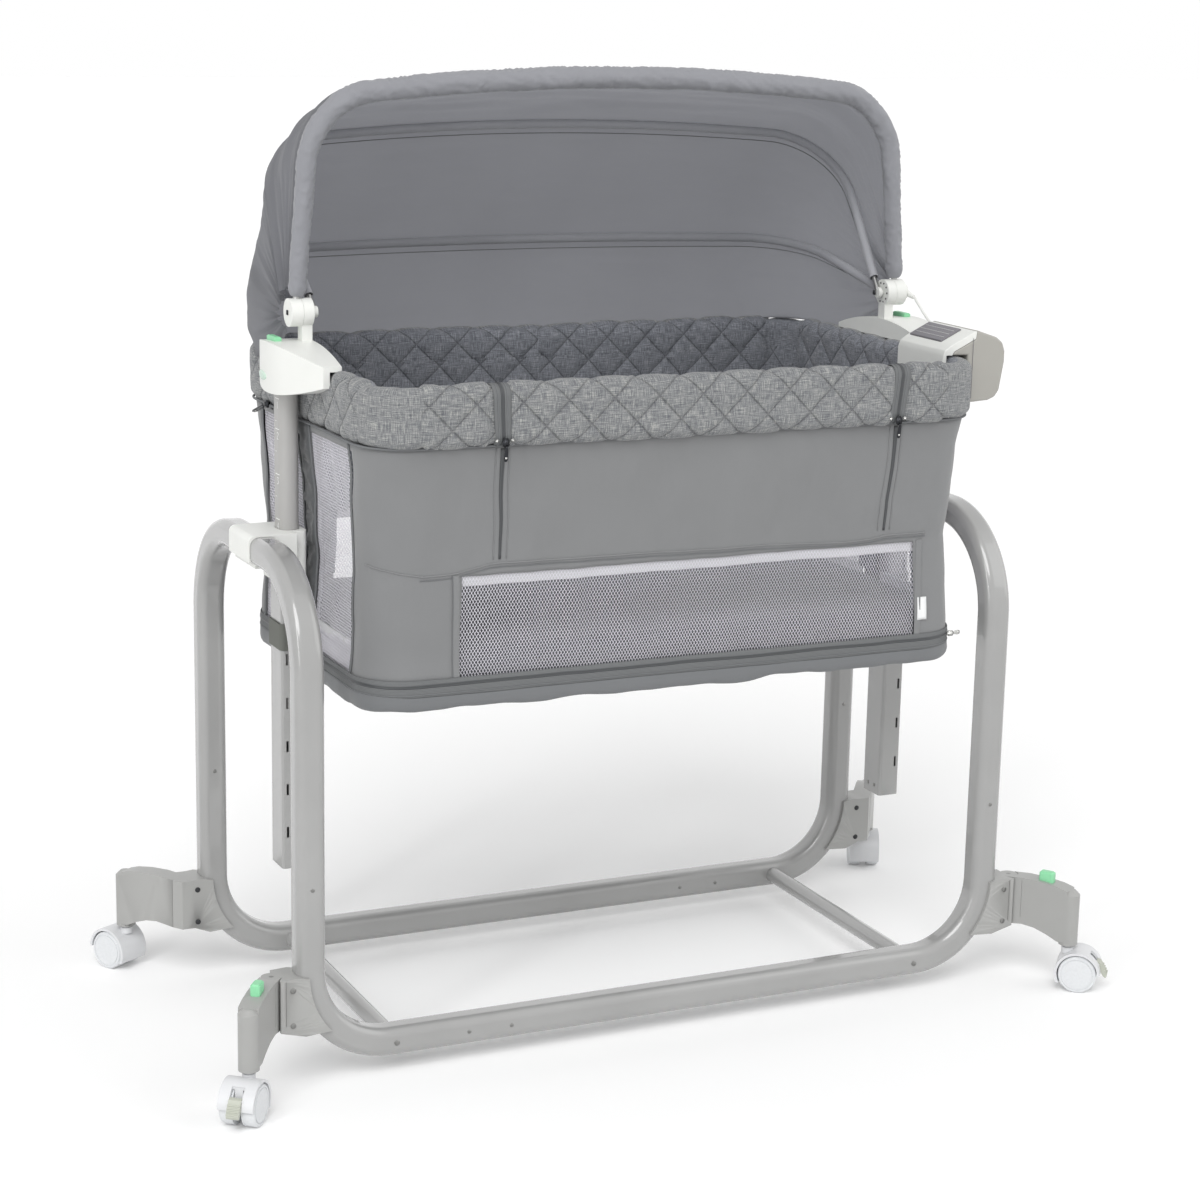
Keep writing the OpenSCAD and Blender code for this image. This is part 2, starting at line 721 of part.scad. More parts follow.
// Straight leg of a hoop from start up to the corner arc, aimed at w on the hinge line
module hoop_leg(d, w, off, start, end) {
    lean = leg_lean(w, off);
    foot = [corner_cx + (hoop_r + off) * cos(lean), corner_cz + (hoop_r + off) * sin(lean)];
    top = foot[1] / cos(lean);
    translate([foot[0], 0, foot[1]]) rotate([0, -lean, 0]) translate([0, 0, start - top])
        cylinder(d = d, h = (end > 0 ? end : top - joint_gap) - start, $fn = 24);
}

joint_gap = 0.3;
ferrule_t = 0.2;

// Short ferrule round the joint of two lengths of rod, at angle a of the corner arc
module ferrule(d, r, a) {
    rotate([0, 0, a]) translate([r, 0, 0]) rotate([90, 0, 0])
        cylinder(d = d + 2 * ferrule_t, h = min(d - 4, 5), center = true);
}

// Round rod following the hoop outline moved out by off
module hoop(d, w, off, start) {
    lean = leg_lean(w, off);
    r = hoop_r + off;
    slip = joint_gap / r * 57.3;
    crown_slip = joint_gap / (crown_r + off) * 57.3;
    for (sx = [-1, 1]) mirror([sx < 0 ? 1 : 0, 0, 0]) {
        hoop_leg(d, w, off, start, 0);
        translate([corner_cx, 0, corner_cz]) rotate([90, 0, 0]) {
            rotate([0, 0, lean + slip]) rotate_extrude(angle = crown_a - lean - 2 * slip, $fn = 64)
                translate([r, 0]) circle(d = d, $fn = 24);
            ferrule(d, r, lean);
            ferrule(d, r, crown_a);
        }
    }
    translate([0, 0, drop]) rotate([90, 0, 0]) rotate([0, 0, crown_a + crown_slip])
        rotate_extrude(angle = 180 - 2 * crown_a - 2 * crown_slip, $fn = 180) translate([crown_r + off, 0])
            circle(d = d, $fn = 24);
}

module tilt(angle) {
    translate([0, 0, hub_z]) rotate([-angle, 0, 0]) children();
}

// Everything inside the hoop outline moved out by off, as height above the hinge line against X
module outline_region(off) {
    lean = hoop_lean;
    r = hoop_r + off;
    foot_x = hoop_w + off / cos(lean);
    for (sx = [-1, 1]) translate([sx * corner_cx, corner_cz]) circle(r);
    intersection() {
        translate([0, drop]) circle(crown_r + off, $fn = 360);
        polygon([[-corner_cx, corner_cz], [corner_cx, corner_cz],
            [corner_cx + 2 * r * cos(crown_a), corner_cz + 2 * r * sin(crown_a)],
            [-corner_cx - 2 * r * cos(crown_a), corner_cz + 2 * r * sin(crown_a)]]);
    }
    polygon([[-foot_x, 0], [foot_x, 0], [corner_cx + r * cos(lean), corner_cz + r * sin(lean)],
        [corner_cx, corner_cz], [-corner_cx, corner_cz], [-corner_cx - r * cos(lean), corner_cz + r * sin(lean)]]);
}

// Shell swept about the hinge line between two angles behind the front hoop, open below low
module veil(off, from, to, low = veil_low) {
    translate([0, 0, hub_z]) rotate([90, 0, 90]) rotate([0, 0, 90 - to])
        rotate_extrude(angle = to - from, $fn = 96) rotate([0, 0, -90]) difference() {
            outline_region(off);
            outline_region(off - veil_t);
            translate([-2 * hoop_w, -1]) square([4 * hoop_w, low + 1]);
        }
}

veil_low = 35;
front_veil = [0, 43];
rear_veil = [37, 74.5];
skirt_veil = [71.5, 101];
fold_step = 27;

module canopy_uprights() {
    color(moulding) difference() {
        for (sx = [-1, 1]) mirror([sx < 0 ? 1 : 0, 0, 0]) {
            translate([upright_in, -8, bracket_top - 1]) cube([upright_t, 16, hub_z - bracket_top + 1]);
            translate([upright_in, 0, hub_z]) rotate([0, 90, 0]) {
                cylinder(r = hub_r, h = upright_t);
                cylinder(d = hub_pin_d, h = upright_t + rotor_t + 0.6);
                translate([0, 0, -8]) cylinder(d = eye_pin_d, h = 9);
            }
        }
        for (sx = [-1, 1]) mirror([sx < 0 ? 1 : 0, 0, 0])
            tilt(rear_angle) hoop_leg(thin_d + 2 * fit, rear_x, 1.9, 8.5, 40);
    }
}

module front_hoop() {
    color("#b9b9b7") difference() {
        union() {
            tilt(0) hoop(rod_d, hoop_w, 0, 10);
            for (sx = [-1, 1]) mirror([sx < 0 ? 1 : 0, 0, 0])
                translate([rotor_in, 0, hub_z]) rotate([0, 90, 0]) cylinder(r = hub_r, h = rotor_t);
        }
        translate([0, 0, hub_z]) rotate([0, 90, 0]) cylinder(d = hub_pin_d + 2 * fit, h = 900, center = true);
    }
}

module hoop_sleeve() {
    color(cloth) tilt(0) difference() {
        hoop(sleeve_d, hoop_w, 0, 34);
        hoop(rod_d + 2 * fit, hoop_w, 0, 30);
    }
}

module front_canopy() {
    color(cloth) veil(sleeve_d / 2 + 0.3 + veil_t, front_veil[0], front_veil[1]);
}

module mid_hoop() {
    color("#b9b9b7") difference() {
        union() {
            tilt(mid_angle) hoop(thin_d, eye_x, 5.5, 0);
            for (sx = [-1, 1]) mirror([sx < 0 ? 1 : 0, 0, 0])
                translate([eye_x - 2, 0, hub_z]) rotate([0, 90, 0]) cylinder(r = 7, h = 5);
        }
        translate([0, 0, hub_z]) rotate([0, 90, 0]) cylinder(d = eye_pin_d + 2 * fit, h = 2 * eye_x + 20, center = true);
    }
}

module rear_canopy() {
    color(cloth) difference() {
        veil(11.4, rear_veil[0], rear_veil[1]);
        tilt(fold_step) translate([-2 * hoop_w, -hoop_h, -20])
            cube([4 * hoop_w, hoop_h + sleeve_d / 2 + 3, 3 * hoop_h]);
    }
}

module rear_hoop() {
    color("#b9b9b7") tilt(rear_angle) hoop(thin_d, rear_x, 1.9, 9);
}

module canopy_skirt() {
    color(heather) veil(7.8, skirt_veil[0], skirt_veil[1], veil_low + 15);
}

// ---- soothing unit and its lead

unit_x = rim_x - rim_t - 6;
unit_front = unit_y - unit_w / 2;
unit_rear = unit_y + unit_w / 2;
lip_t = 12;

// Side outline of the unit in X and Z, notched to sit over the rim
module unit_outline() {
    difference() {
        polygon([[unit_x, rim_top - 35], [unit_x, rim_top], [unit_x + 3, rim_top + 8], [unit_x + 12, rim_top + 14],
            [unit_x + 45, rim_top + 30], [unit_x + 52, rim_top + 31], [unit_x + unit_l - 13, rim_top + 22],
            [unit_x + unit_l - 4, rim_top + 15], [unit_x + unit_l, rim_top + 4], [unit_x + unit_l, rim_top - 10],
            [unit_x + unit_l - 6, rim_top - 46], [unit_x + unit_l - 12, rim_top - 54],
            [unit_x + unit_l - 22, rim_top - 58], [rim_x, rim_top - 60], [rim_x - rim_t, rim_top - 35]]);
        translate([rim_x - rim_t - 0.5, rim_low - 20]) square([rim_t + 1.3, rim_top + 21 - rim_low]);
    }
}

// Part of the outline that is the grey body, under the inner lip and the surround of the panel
module body_region() {
    far = unit_x + 2 * unit_l;
    polygon([[unit_x + lip_t, rim_low - 50], [unit_x + lip_t, rim_top - 2], [unit_x + lip_t + 5, rim_top + 6],
        [unit_x + 48, rim_top + 21], [unit_x + 52, rim_top + 50], [far, rim_top + 50], [far, rim_low - 50]]);
}

// Child outline carried across the width of the unit
module across_unit() {
    translate([0, unit_rear, 0]) rotate([90, 0, 0]) linear_extrude(unit_w) children();
}

module panel_plate(g) {
    translate([unit_x + 29, unit_rear - 43, rim_top + 22]) rotate([0, -25.9, 0])
        cube([32 + 2 * g, 76 + 2 * g, 4 + 2 * g], center = true);
}

module unit_cover() {
    color(moulding) difference() {
        across_unit() difference() {
            unit_outline();
            body_region();
        }
        panel_plate(0.1);
    }
}

module unit_body() {
    color("#a5a39d") across_unit() intersection() {
        unit_outline();
        body_region();
    }
}

module unit_panel() {
    color("#77757a") panel_plate(0);
}

relief_from = [rotor_in + rotor_t + 4.6, -6, hub_z];
relief_to = [rotor_in + rotor_t + 7, -22, hub_z - 5];
relief_dir = relief_to - relief_from;
relief_len = sqrt(relief_dir[0] * relief_dir[0] + relief_dir[1] * relief_dir[1] + relief_dir[2] * relief_dir[2]);

module lead_relief() {
    color(moulding) {
        translate([rotor_in + rotor_t + 0.3, 0, hub_z]) rotate([0, 90, 0]) cylinder(r = 10, h = 6);
        translate(relief_from) rotate([0, acos(relief_dir[2] / relief_len), atan2(relief_dir[1], relief_dir[0])])
            cylinder(r1 = 4.2, r2 = 2.8, h = relief_len);
    }
}

lead_d = 3.6;
lead_steps = [[1, -7, -5], [2, -14, -11], [2, -22, -17], [2, -30, -22], [1, -38, -26], [1, -46, -29],
    [0, -54, -31]];
lead_path = concat([relief_to + 0.1 / relief_len * relief_dir, relief_to + 4 / relief_len * relief_dir],
    [for (step = lead_steps) relief_to + step], [[unit_x + 58, unit_rear + 0.1, rim_top + 22]]);

// Tube swept along hand-placed points, eight-sided, rings square to the path
function unit(v) = v / sqrt(v * v);
function ring_at(p, i) = let(
    last = len(p) - 1,
    t = unit(p[min(i + 1, last)] - p[max(i - 1, 0)]),
    a = unit(cross(t, [1, 0, 0])),
    b = cross(a, t))
    [for (k = [0:7]) p[i] + lead_d / 2 * (cos(45 * k) * a + sin(45 * k) * b)];

module canopy_lead() {
    n = len(lead_path);
    color("#e9e9e6") polyhedron(
        points = [for (i = [0:n - 1]) each ring_at(lead_path, i)],
        faces = concat([[for (k = [0:7]) 7 - k]], [[for (k = [0:7]) 8 * (n - 1) + k]],
            [for (i = [0:n - 2], k = [0:7])
                [8 * i + k, 8 * i + (k + 1) % 8, 8 * i + 8 + (k + 1) % 8, 8 * i + 8 + k]]));
}

// ---- output

u_frame(-1);  // left_u_frame
u_frame(1);  // right_u_frame
floor_tube([-1, -1], front_seam_z, floor_seam_x, true);  // front_short_tube
floor_tube([1, -1], front_seam_z, -floor_seam_x, false);  // front_long_tube
floor_tube([1, 1], rear_seam_z, floor_seam_x, true);  // rear_short_tube
floor_tube([-1, 1], rear_seam_z, -floor_seam_x, false);  // rear_long_tube
crossbars();
frame_fasteners();
post_collars();
outer_post(-1);  // left_outer_post
outer_post(1);  // right_outer_post
rear_foot(-1);  // rear_left_foot
rear_foot(1);  // rear_right_foot
front_foot(-1);  // front_left_foot
front_foot(1);  // front_right_foot
foot_hinge_pins();
front_arm(-1);  // front_left_arm
front_arm(1);  // front_right_arm
foot_button(-1);  // front_left_foot_button
foot_button(1);  // front_right_foot_button
at_stem([-1, -1], dir_fl) caster_hood(true);  // front_left_caster
at_stem([1, -1], dir_fr) caster_hood(true);  // front_right_caster
at_stem([-1, 1], dir_rl) caster_hood(false);  // rear_left_caster
at_stem([1, 1], dir_rr) caster_hood(false);  // rear_right_caster
at_stem([-1, -1], dir_fl) caster_wheels();  // front_left_wheels
at_stem([1, -1], dir_fr) caster_wheels();  // front_right_wheels
at_stem([-1, 1], dir_rl) caster_wheels();  // rear_left_wheels
at_stem([1, 1], dir_rr) caster_wheels();  // rear_right_wheels
at_stem([-1, -1], dir_fl) caster_brake();  // front_left_brake
at_stem([1, -1], dir_fr) caster_brake();  // front_right_brake
inner_post(-1);  // left_inner_post
inner_post(1);  // right_inner_post
slider_shoes();
end_bracket(-1);  // left_end_bracket
end_bracket(1);  // right_end_bracket
release_button(-1);  // left_release_button
release_button(1);  // right_release_button
canopy_uprights();
rim_rail();
padded_rim();
wall(0);  // front_wall
wall(1);  // right_wall
wall(2);  // rear_wall
wall(3);  // left_wall
mesh_windows();
base_tray();
mattress();
post_straps();
unit_cover();
unit_body();
unit_panel();
canopy_lead();
lead_relief();
front_hoop();
hoop_sleeve();
front_canopy();
mid_hoop();
rear_canopy();
rear_hoop();
canopy_skirt();
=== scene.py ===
import json
import math
import bpy
import bmesh
import numpy as np
from mathutils import Matrix, Vector, noise


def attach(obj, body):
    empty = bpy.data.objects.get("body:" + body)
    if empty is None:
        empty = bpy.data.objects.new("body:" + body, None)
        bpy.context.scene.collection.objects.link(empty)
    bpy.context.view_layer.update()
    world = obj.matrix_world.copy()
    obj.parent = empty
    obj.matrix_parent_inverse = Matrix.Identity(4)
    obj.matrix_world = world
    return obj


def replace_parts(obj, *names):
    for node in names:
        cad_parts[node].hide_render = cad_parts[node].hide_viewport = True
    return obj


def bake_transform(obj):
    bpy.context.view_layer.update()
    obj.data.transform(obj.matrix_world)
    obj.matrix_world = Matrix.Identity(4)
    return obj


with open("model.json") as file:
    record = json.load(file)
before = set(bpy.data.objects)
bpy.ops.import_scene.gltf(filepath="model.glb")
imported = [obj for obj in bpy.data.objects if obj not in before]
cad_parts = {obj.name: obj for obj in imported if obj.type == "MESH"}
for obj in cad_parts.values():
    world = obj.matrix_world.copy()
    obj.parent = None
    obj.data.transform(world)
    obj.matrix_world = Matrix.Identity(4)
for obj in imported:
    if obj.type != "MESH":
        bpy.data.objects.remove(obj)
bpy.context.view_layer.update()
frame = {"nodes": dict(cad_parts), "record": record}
nodes = frame["nodes"]
bodyOf = {n: b for b, members in frame["record"]["behaviour"]["bodies"].items() for n in members}
slotOf = {s["node"]: s["material_slot"] for s in frame["record"]["subparts"]}

# The main view: place in metres, angles in degrees, lens and sensor in millimetres
view = {
    "place": (-1.4493, -3.0798, 1.2953), "azimuth": -25.12, "elevation": 12.93, "roll": 1.17,
    "lens": 81.28, "sensor": 36, "farClip": 100,
}
# The white surroundings, two suns (by where they shine from, angles in degrees), a strip light (metres and
# watts) and the floor
studio = {
    "worldLight": 0.62,
    "keyFrom": (-1.6, -2.6, 3.0), "keyStrength": 1.38, "keyAngle": 34,
    "fillFrom": (2.6, -1.6, 1.6), "fillStrength": 0.55, "fillAngle": 50,
    "stripPlace": (-3.2, -2.2, 1.7), "stripAim": (0, 0, 0.6), "stripSize": (0.25, 2.6), "stripPower": 22,
    "floorColour": "#f6f6f6", "floorLift": 0.10, "floorHalf": 30,
}


def addObject(name, data):
    made = bpy.data.objects.new(name, data)
    bpy.context.collection.objects.link(made)
    return made


def addCamera():
    az, el, roll = (math.radians(view[k]) for k in ("azimuth", "elevation", "roll"))
    back = Vector((math.sin(az) * math.cos(el), -math.cos(az) * math.cos(el), math.sin(el)))
    right = Vector((0, 0, 1)).cross(back).normalized()
    up = back.cross(right)
    x = math.cos(roll) * right + math.sin(roll) * up
    y = -math.sin(roll) * right + math.cos(roll) * up
    data = bpy.data.cameras.new("camera")
    data.lens = view["lens"]
    data.sensor_width = view["sensor"]
    data.clip_end = view["farClip"]
    camera = addObject("camera", data)
    camera.matrix_world = Matrix.Translation(view["place"]) @ Matrix((x, y, back)).transposed().to_4x4()
    bpy.context.scene.camera = camera


def addSun(name, source, strength, angle):
    data = bpy.data.lights.new(name, "SUN")
    data.energy = strength
    data.angle = math.radians(angle)
    addObject(name, data).rotation_euler = (-Vector(source)).to_track_quat("-Z", "Y").to_euler()


# A tall soft box that draws the long bright lines on tubes and mouldings
def addStrip():
    data = bpy.data.lights.new("stripLight", "AREA")
    data.shape = "RECTANGLE"
    data.size, data.size_y = studio["stripSize"]
    data.energy = studio["stripPower"]
    lamp = addObject("stripLight", data)
    lamp.location = studio["stripPlace"]
    toAim = Vector(studio["stripAim"]) - Vector(studio["stripPlace"])
    lamp.rotation_euler = toAim.to_track_quat("-Z", "Y").to_euler()


def tone(code):  # sRGB hex to linear
    parts = [int(code[i:i + 2], 16) / 255 for i in (1, 3, 5)]
    return tuple(p / 12.92 if p <= 0.04045 else ((p + 0.055) / 1.055) ** 2.4 for p in parts) + (1.0,)


def shade(code, k):  # the colour made k times as light
    return tuple(min(1, c * k) for c in tone(code)[:3]) + (1.0,)


def perMetre(size):  # texture scale of a pattern of that size in millimetres
    return float(round(1000 / size))


# Adds a node: its settings, the stops of a colour ramp, and each input set or linked
def addNode(tree, kind, inputs=None, stops=(), **settings):
    node = tree.nodes.new(kind)
    for key, value in settings.items():
        setattr(node, key, value)
    for k, (place, colour) in enumerate(stops):
        stop = node.color_ramp.elements[k] if k < 2 else node.color_ramp.elements.new(place)
        stop.position = place
        stop.color = colour
    for socket, value in (inputs or {}).items():
        if isinstance(value, bpy.types.Node):
            value = value.outputs[0]
        if isinstance(value, bpy.types.NodeSocket):
            tree.links.new(value, node.inputs[socket])
        else:
            node.inputs[socket].default_value = value
    return node


def startFinish(name):
    mat = bpy.data.materials.new(name)
    mat.use_nodes = True
    mat.node_tree.nodes.clear()
    return mat, mat.node_tree


# Closes a finish with its surface; glow is the share of light that comes through the cloth
def closeFinish(mat, inputs, glow=0.0):
    tree = mat.node_tree
    surface = addNode(tree, "ShaderNodeBsdfPrincipled", inputs)
    if glow:
        kept = {"Color": inputs["Base Color"], "Normal": inputs["Normal"]}
        through = addNode(tree, "ShaderNodeBsdfTranslucent", kept)
        surface = addNode(tree, "ShaderNodeMixShader", {0: glow, 1: surface, 2: through})
    addNode(tree, "ShaderNodeOutputMaterial", {"Surface": surface})
    return mat


# Powder coated steel: an even skin with a faint orange peel 2 mm across, slightly dusty in tone
def powderCoat(name, code, roughness, gloss=0.0):
    mat, tree = startFinish(name)
    place = addNode(tree, "ShaderNodeTexCoord").outputs["Object"]
    peel = addNode(tree, "ShaderNodeTexNoise", {"Vector": place, "Scale": perMetre(2.083), "Detail": 1.0})
    cloud = addNode(tree, "ShaderNodeTexNoise", {"Vector": place, "Scale": perMetre(111), "Detail": 3.0})
    dust = addNode(tree, "ShaderNodeValToRGB", {0: cloud},
                   [(0.3, shade(code, 0.95)), (0.7, shade(code, 1.04))])
    rub = addNode(tree, "ShaderNodeMapRange",
                  {"Value": cloud, "To Min": roughness - 0.04, "To Max": roughness + 0.06})
    bump = addNode(tree, "ShaderNodeBump", {"Height": peel, "Strength": 0.05, "Distance": 0.0004})
    return closeFinish(mat, {"Base Color": dust, "Roughness": rub, "Normal": bump,
                             "Coat Weight": gloss, "Coat Roughness": 0.06})


# Injection moulded ABS or PP: spark-eroded grain of about 0.6 mm, drawn at 1 mm so that it shows
def moulded(name, code, roughness, grain=1.0):
    mat, tree = startFinish(name)
    place = addNode(tree, "ShaderNodeTexCoord").outputs["Object"]
    spark = addNode(tree, "ShaderNodeTexNoise", {"Vector": place, "Scale": 1000 / grain, "Detail": 2.0})
    cloud = addNode(tree, "ShaderNodeTexNoise", {"Vector": place, "Scale": perMetre(71.4), "Detail": 2.0})
    body = addNode(tree, "ShaderNodeValToRGB", {0: cloud},
                   [(0.3, shade(code, 0.97)), (0.7, shade(code, 1.02))])
    bump = addNode(tree, "ShaderNodeBump", {"Height": spark, "Strength": 0.08, "Distance": 0.0004})
    return closeFinish(mat, {"Base Color": body, "Roughness": roughness, "Normal": bump})


# Zinc plated or drawn steel: fine lengthwise drawing marks, 1 mm by 17 mm, in a soft metal sheen
def drawnSteel(name, code, roughness):
    mat, tree = startFinish(name)
    place = addNode(tree, "ShaderNodeTexCoord").outputs["Object"]
    across, down = perMetre(1.111), perMetre(16.7)
    long = addNode(tree, "ShaderNodeMapping", {"Vector": place, "Scale": (across, across, down)})
    marks = addNode(tree, "ShaderNodeTexNoise", {"Vector": long, "Scale": 1.0, "Detail": 3.0})
    metal = addNode(tree, "ShaderNodeValToRGB", {0: marks},
                    [(0.3, shade(code, 0.85)), (0.7, shade(code, 1.05))])
    bump = addNode(tree, "ShaderNodeBump", {"Height": marks, "Strength": 0.1, "Distance": 0.0002})
    return closeFinish(mat, {"Base Color": metal, "Metallic": 1.0, "Roughness": roughness, "Normal": bump})


waveLength = 314  # millimetres in which a wave texture of scale 1 repeats


# Two sets of threads crossing at a pitch in millimetres, from the cloth's own length coordinates
def threads(tree, pitch):
    flat = addNode(tree, "ShaderNodeTexCoord").outputs["UV"]
    yarn = {"Vector": flat, "Scale": waveLength / pitch, "Distortion": 0.6, "Detail": 1.0}
    sets = [addNode(tree, "ShaderNodeTexWave", yarn, bands_direction=axis) for axis in ("X", "Y")]
    crossing = {0: sets[0].outputs["Fac"], 1: sets[1].outputs["Fac"]}
    return flat, addNode(tree, "ShaderNodeMath", crossing, operation="MULTIPLY")


# Close plain weave polyester: threads of 0.5 mm, drawn at 1.1 mm so that they show, in soft broad creases
def plainCloth(name, code, roughness, pitch=1.1, contrast=0.07, glow=0.0):
    mat, tree = startFinish(name)
    flat, weave = threads(tree, pitch)
    cloud = addNode(tree, "ShaderNodeTexNoise", {"Vector": flat, "Scale": perMetre(143), "Detail": 4.0})
    body = addNode(tree, "ShaderNodeValToRGB", {0: weave},
                   [(0.0, shade(code, 1 - contrast)), (0.6, shade(code, 1 + contrast))])
    tint = addNode(tree, "ShaderNodeValToRGB", {0: cloud},
                   [(0.25, (0.94, 0.94, 0.94, 1)), (0.75, (1.0, 1.0, 1.0, 1))])
    mixed = addNode(tree, "ShaderNodeMix", {0: 1.0, 6: body, 7: tint},
                    data_type="RGBA", blend_type="MULTIPLY")
    low = addNode(tree, "ShaderNodeBump", {"Height": cloud, "Strength": 0.25, "Distance": 0.006})
    bump = addNode(tree, "ShaderNodeBump",
                   {"Height": weave, "Strength": 0.25, "Distance": 0.0003, "Normal": low})
    return closeFinish(mat, {"Base Color": mixed.outputs[2], "Roughness": roughness, "Normal": bump,
                             "Sheen Weight": 0.25, "Sheen Roughness": 0.5}, glow)


# 1 on the two sets of stitched lines of a quilted cloth, 1.6 mm wide, where the mesh is marked as quilted
def stitchLines(tree, flat, pitch):
    diagonal = 707.1  # metres along the cloth to millimetres across lines at 45 degrees
    parts = addNode(tree, "ShaderNodeSeparateXYZ", {"Vector": flat}).outputs
    near = []
    for kind in ("ADD", "SUBTRACT"):
        across = addNode(tree, "ShaderNodeMath", {0: parts["X"], 1: parts["Y"]}, operation=kind)
        scaled = addNode(tree, "ShaderNodeMath", {0: across, 1: diagonal}, operation="MULTIPLY")
        near.append(addNode(tree, "ShaderNodeMath", {0: scaled, 1: pitch / 2}, operation="PINGPONG"))
    closest = addNode(tree, "ShaderNodeMath", {0: near[0], 1: near[1]}, operation="MINIMUM")
    line = addNode(tree, "ShaderNodeMapRange",
                   {"Value": closest, "From Min": 0.5, "From Max": 1.5, "To Min": 1.0, "To Max": 0.0})
    marked = addNode(tree, "ShaderNodeAttribute", attribute_name="quilted").outputs["Fac"]
    return addNode(tree, "ShaderNodeMath", {0: line, 1: marked}, operation="MULTIPLY")


# Heather polyester: dark and light yarns mixed, with slubs about 15 mm long and 0.8 mm wide lying both ways.
# Its threads of 0.6 mm are drawn at 1.3 mm so that they show. With a quilt pitch, its stitched lines are sunk
# by a bump and darkened as painted shade
def heatherCloth(name, dark, middle, light, quiltPitch=0):
    mat, tree = startFinish(name)
    flat, weave = threads(tree, 1.3)
    slubs = []
    for scale in ((perMetre(16.7), perMetre(0.769), 1.0), (perMetre(0.769), perMetre(14.3), 1.0)):
        long = addNode(tree, "ShaderNodeMapping", {"Vector": flat, "Scale": scale})
        slubs.append(addNode(tree, "ShaderNodeTexNoise",
                             {"Vector": long, "Scale": 1.0, "Detail": 3.0, "Roughness": 0.65}))
    fleck = addNode(tree, "ShaderNodeTexNoise", {"Vector": flat, "Scale": perMetre(1.111), "Detail": 2.0})
    cross = addNode(tree, "ShaderNodeMath", {0: slubs[0], 1: slubs[1]}, operation="ADD")
    mixed = addNode(tree, "ShaderNodeMath", {0: fleck, 1: 0.3, 2: cross}, operation="MULTIPLY_ADD")
    spread = addNode(tree, "ShaderNodeMapRange", {"Value": mixed, "From Min": 0.9, "From Max": 1.42})
    body = addNode(tree, "ShaderNodeValToRGB", {0: spread},
                   [(0.1, tone(dark)), (0.5, tone(middle)), (0.92, tone(light))])
    rise = addNode(tree, "ShaderNodeMath", {0: weave, 1: spread}, operation="ADD")
    bump = addNode(tree, "ShaderNodeBump", {"Height": rise, "Strength": 0.4, "Distance": 0.0005})
    if quiltPitch:
        stitched = stitchLines(tree, flat, quiltPitch)
        # Painted shade: along the stitched lines the colour is darkened to 0.74, as the shade in their
        # grooves
        paintedGrooveShade = addNode(tree, "ShaderNodeValToRGB", {0: stitched},
                      [(0.0, (1, 1, 1, 1)), (1.0, (0.74, 0.74, 0.75, 1))])
        both = addNode(tree, "ShaderNodeMix", {0: 1.0, 6: body, 7: paintedGrooveShade},
                       data_type="RGBA", blend_type="MULTIPLY")
        body = both.outputs[2]
        sunk = {"Height": stitched, "Strength": 0.7, "Distance": 0.0016, "Normal": bump}
        bump = addNode(tree, "ShaderNodeBump", sunk, invert=True)
    return closeFinish(mat, {"Base Color": body, "Roughness": 0.9, "Normal": bump, "Sheen Weight": 0.2})


# Ribbed tape or webbing: one set of cords across the length, at a pitch in millimetres, with a twill sheen
def ribbed(name, code, pitch=2.2, roughness=0.7):
    mat, tree = startFinish(name)
    flat = addNode(tree, "ShaderNodeTexCoord").outputs["UV"]
    cords = {"Vector": flat, "Scale": waveLength / pitch, "Distortion": 0.4, "Detail": 1.0}
    ribs = addNode(tree, "ShaderNodeTexWave", cords, bands_direction="Y").outputs["Fac"]
    body = addNode(tree, "ShaderNodeValToRGB", {0: ribs},
                   [(0.1, shade(code, 0.82)), (0.8, shade(code, 1.08))])
    bump = addNode(tree, "ShaderNodeBump", {"Height": ribs, "Strength": 0.4, "Distance": 0.0006})
    return closeFinish(mat, {"Base Color": body, "Roughness": roughness, "Normal": bump})


# Soft thermoplastic rubber or vinyl: matt, faintly mottled every 3 mm
def rubber(name, code, roughness):
    mat, tree = startFinish(name)
    place = addNode(tree, "ShaderNodeTexCoord").outputs["Object"]
    mottle = addNode(tree, "ShaderNodeTexNoise", {"Vector": place, "Scale": perMetre(3.33), "Detail": 3.0})
    body = addNode(tree, "ShaderNodeValToRGB", {0: mottle},
                   [(0.3, shade(code, 0.96)), (0.7, shade(code, 1.02))])
    bump = addNode(tree, "ShaderNodeBump", {"Height": mottle, "Strength": 0.1, "Distance": 0.0003})
    return closeFinish(mat, {"Base Color": body, "Roughness": roughness, "Normal": bump})


# The stitched pads in millimetres: lines at 45 degrees a pitch apart, creased that far to each side of one.
# plain is the share of the pad's height that the unquilted corners keep
quilting = {"pitch": 41, "crease": 15, "liningRise": 4.8, "rimRise": 4.6, "plain": 0.12}


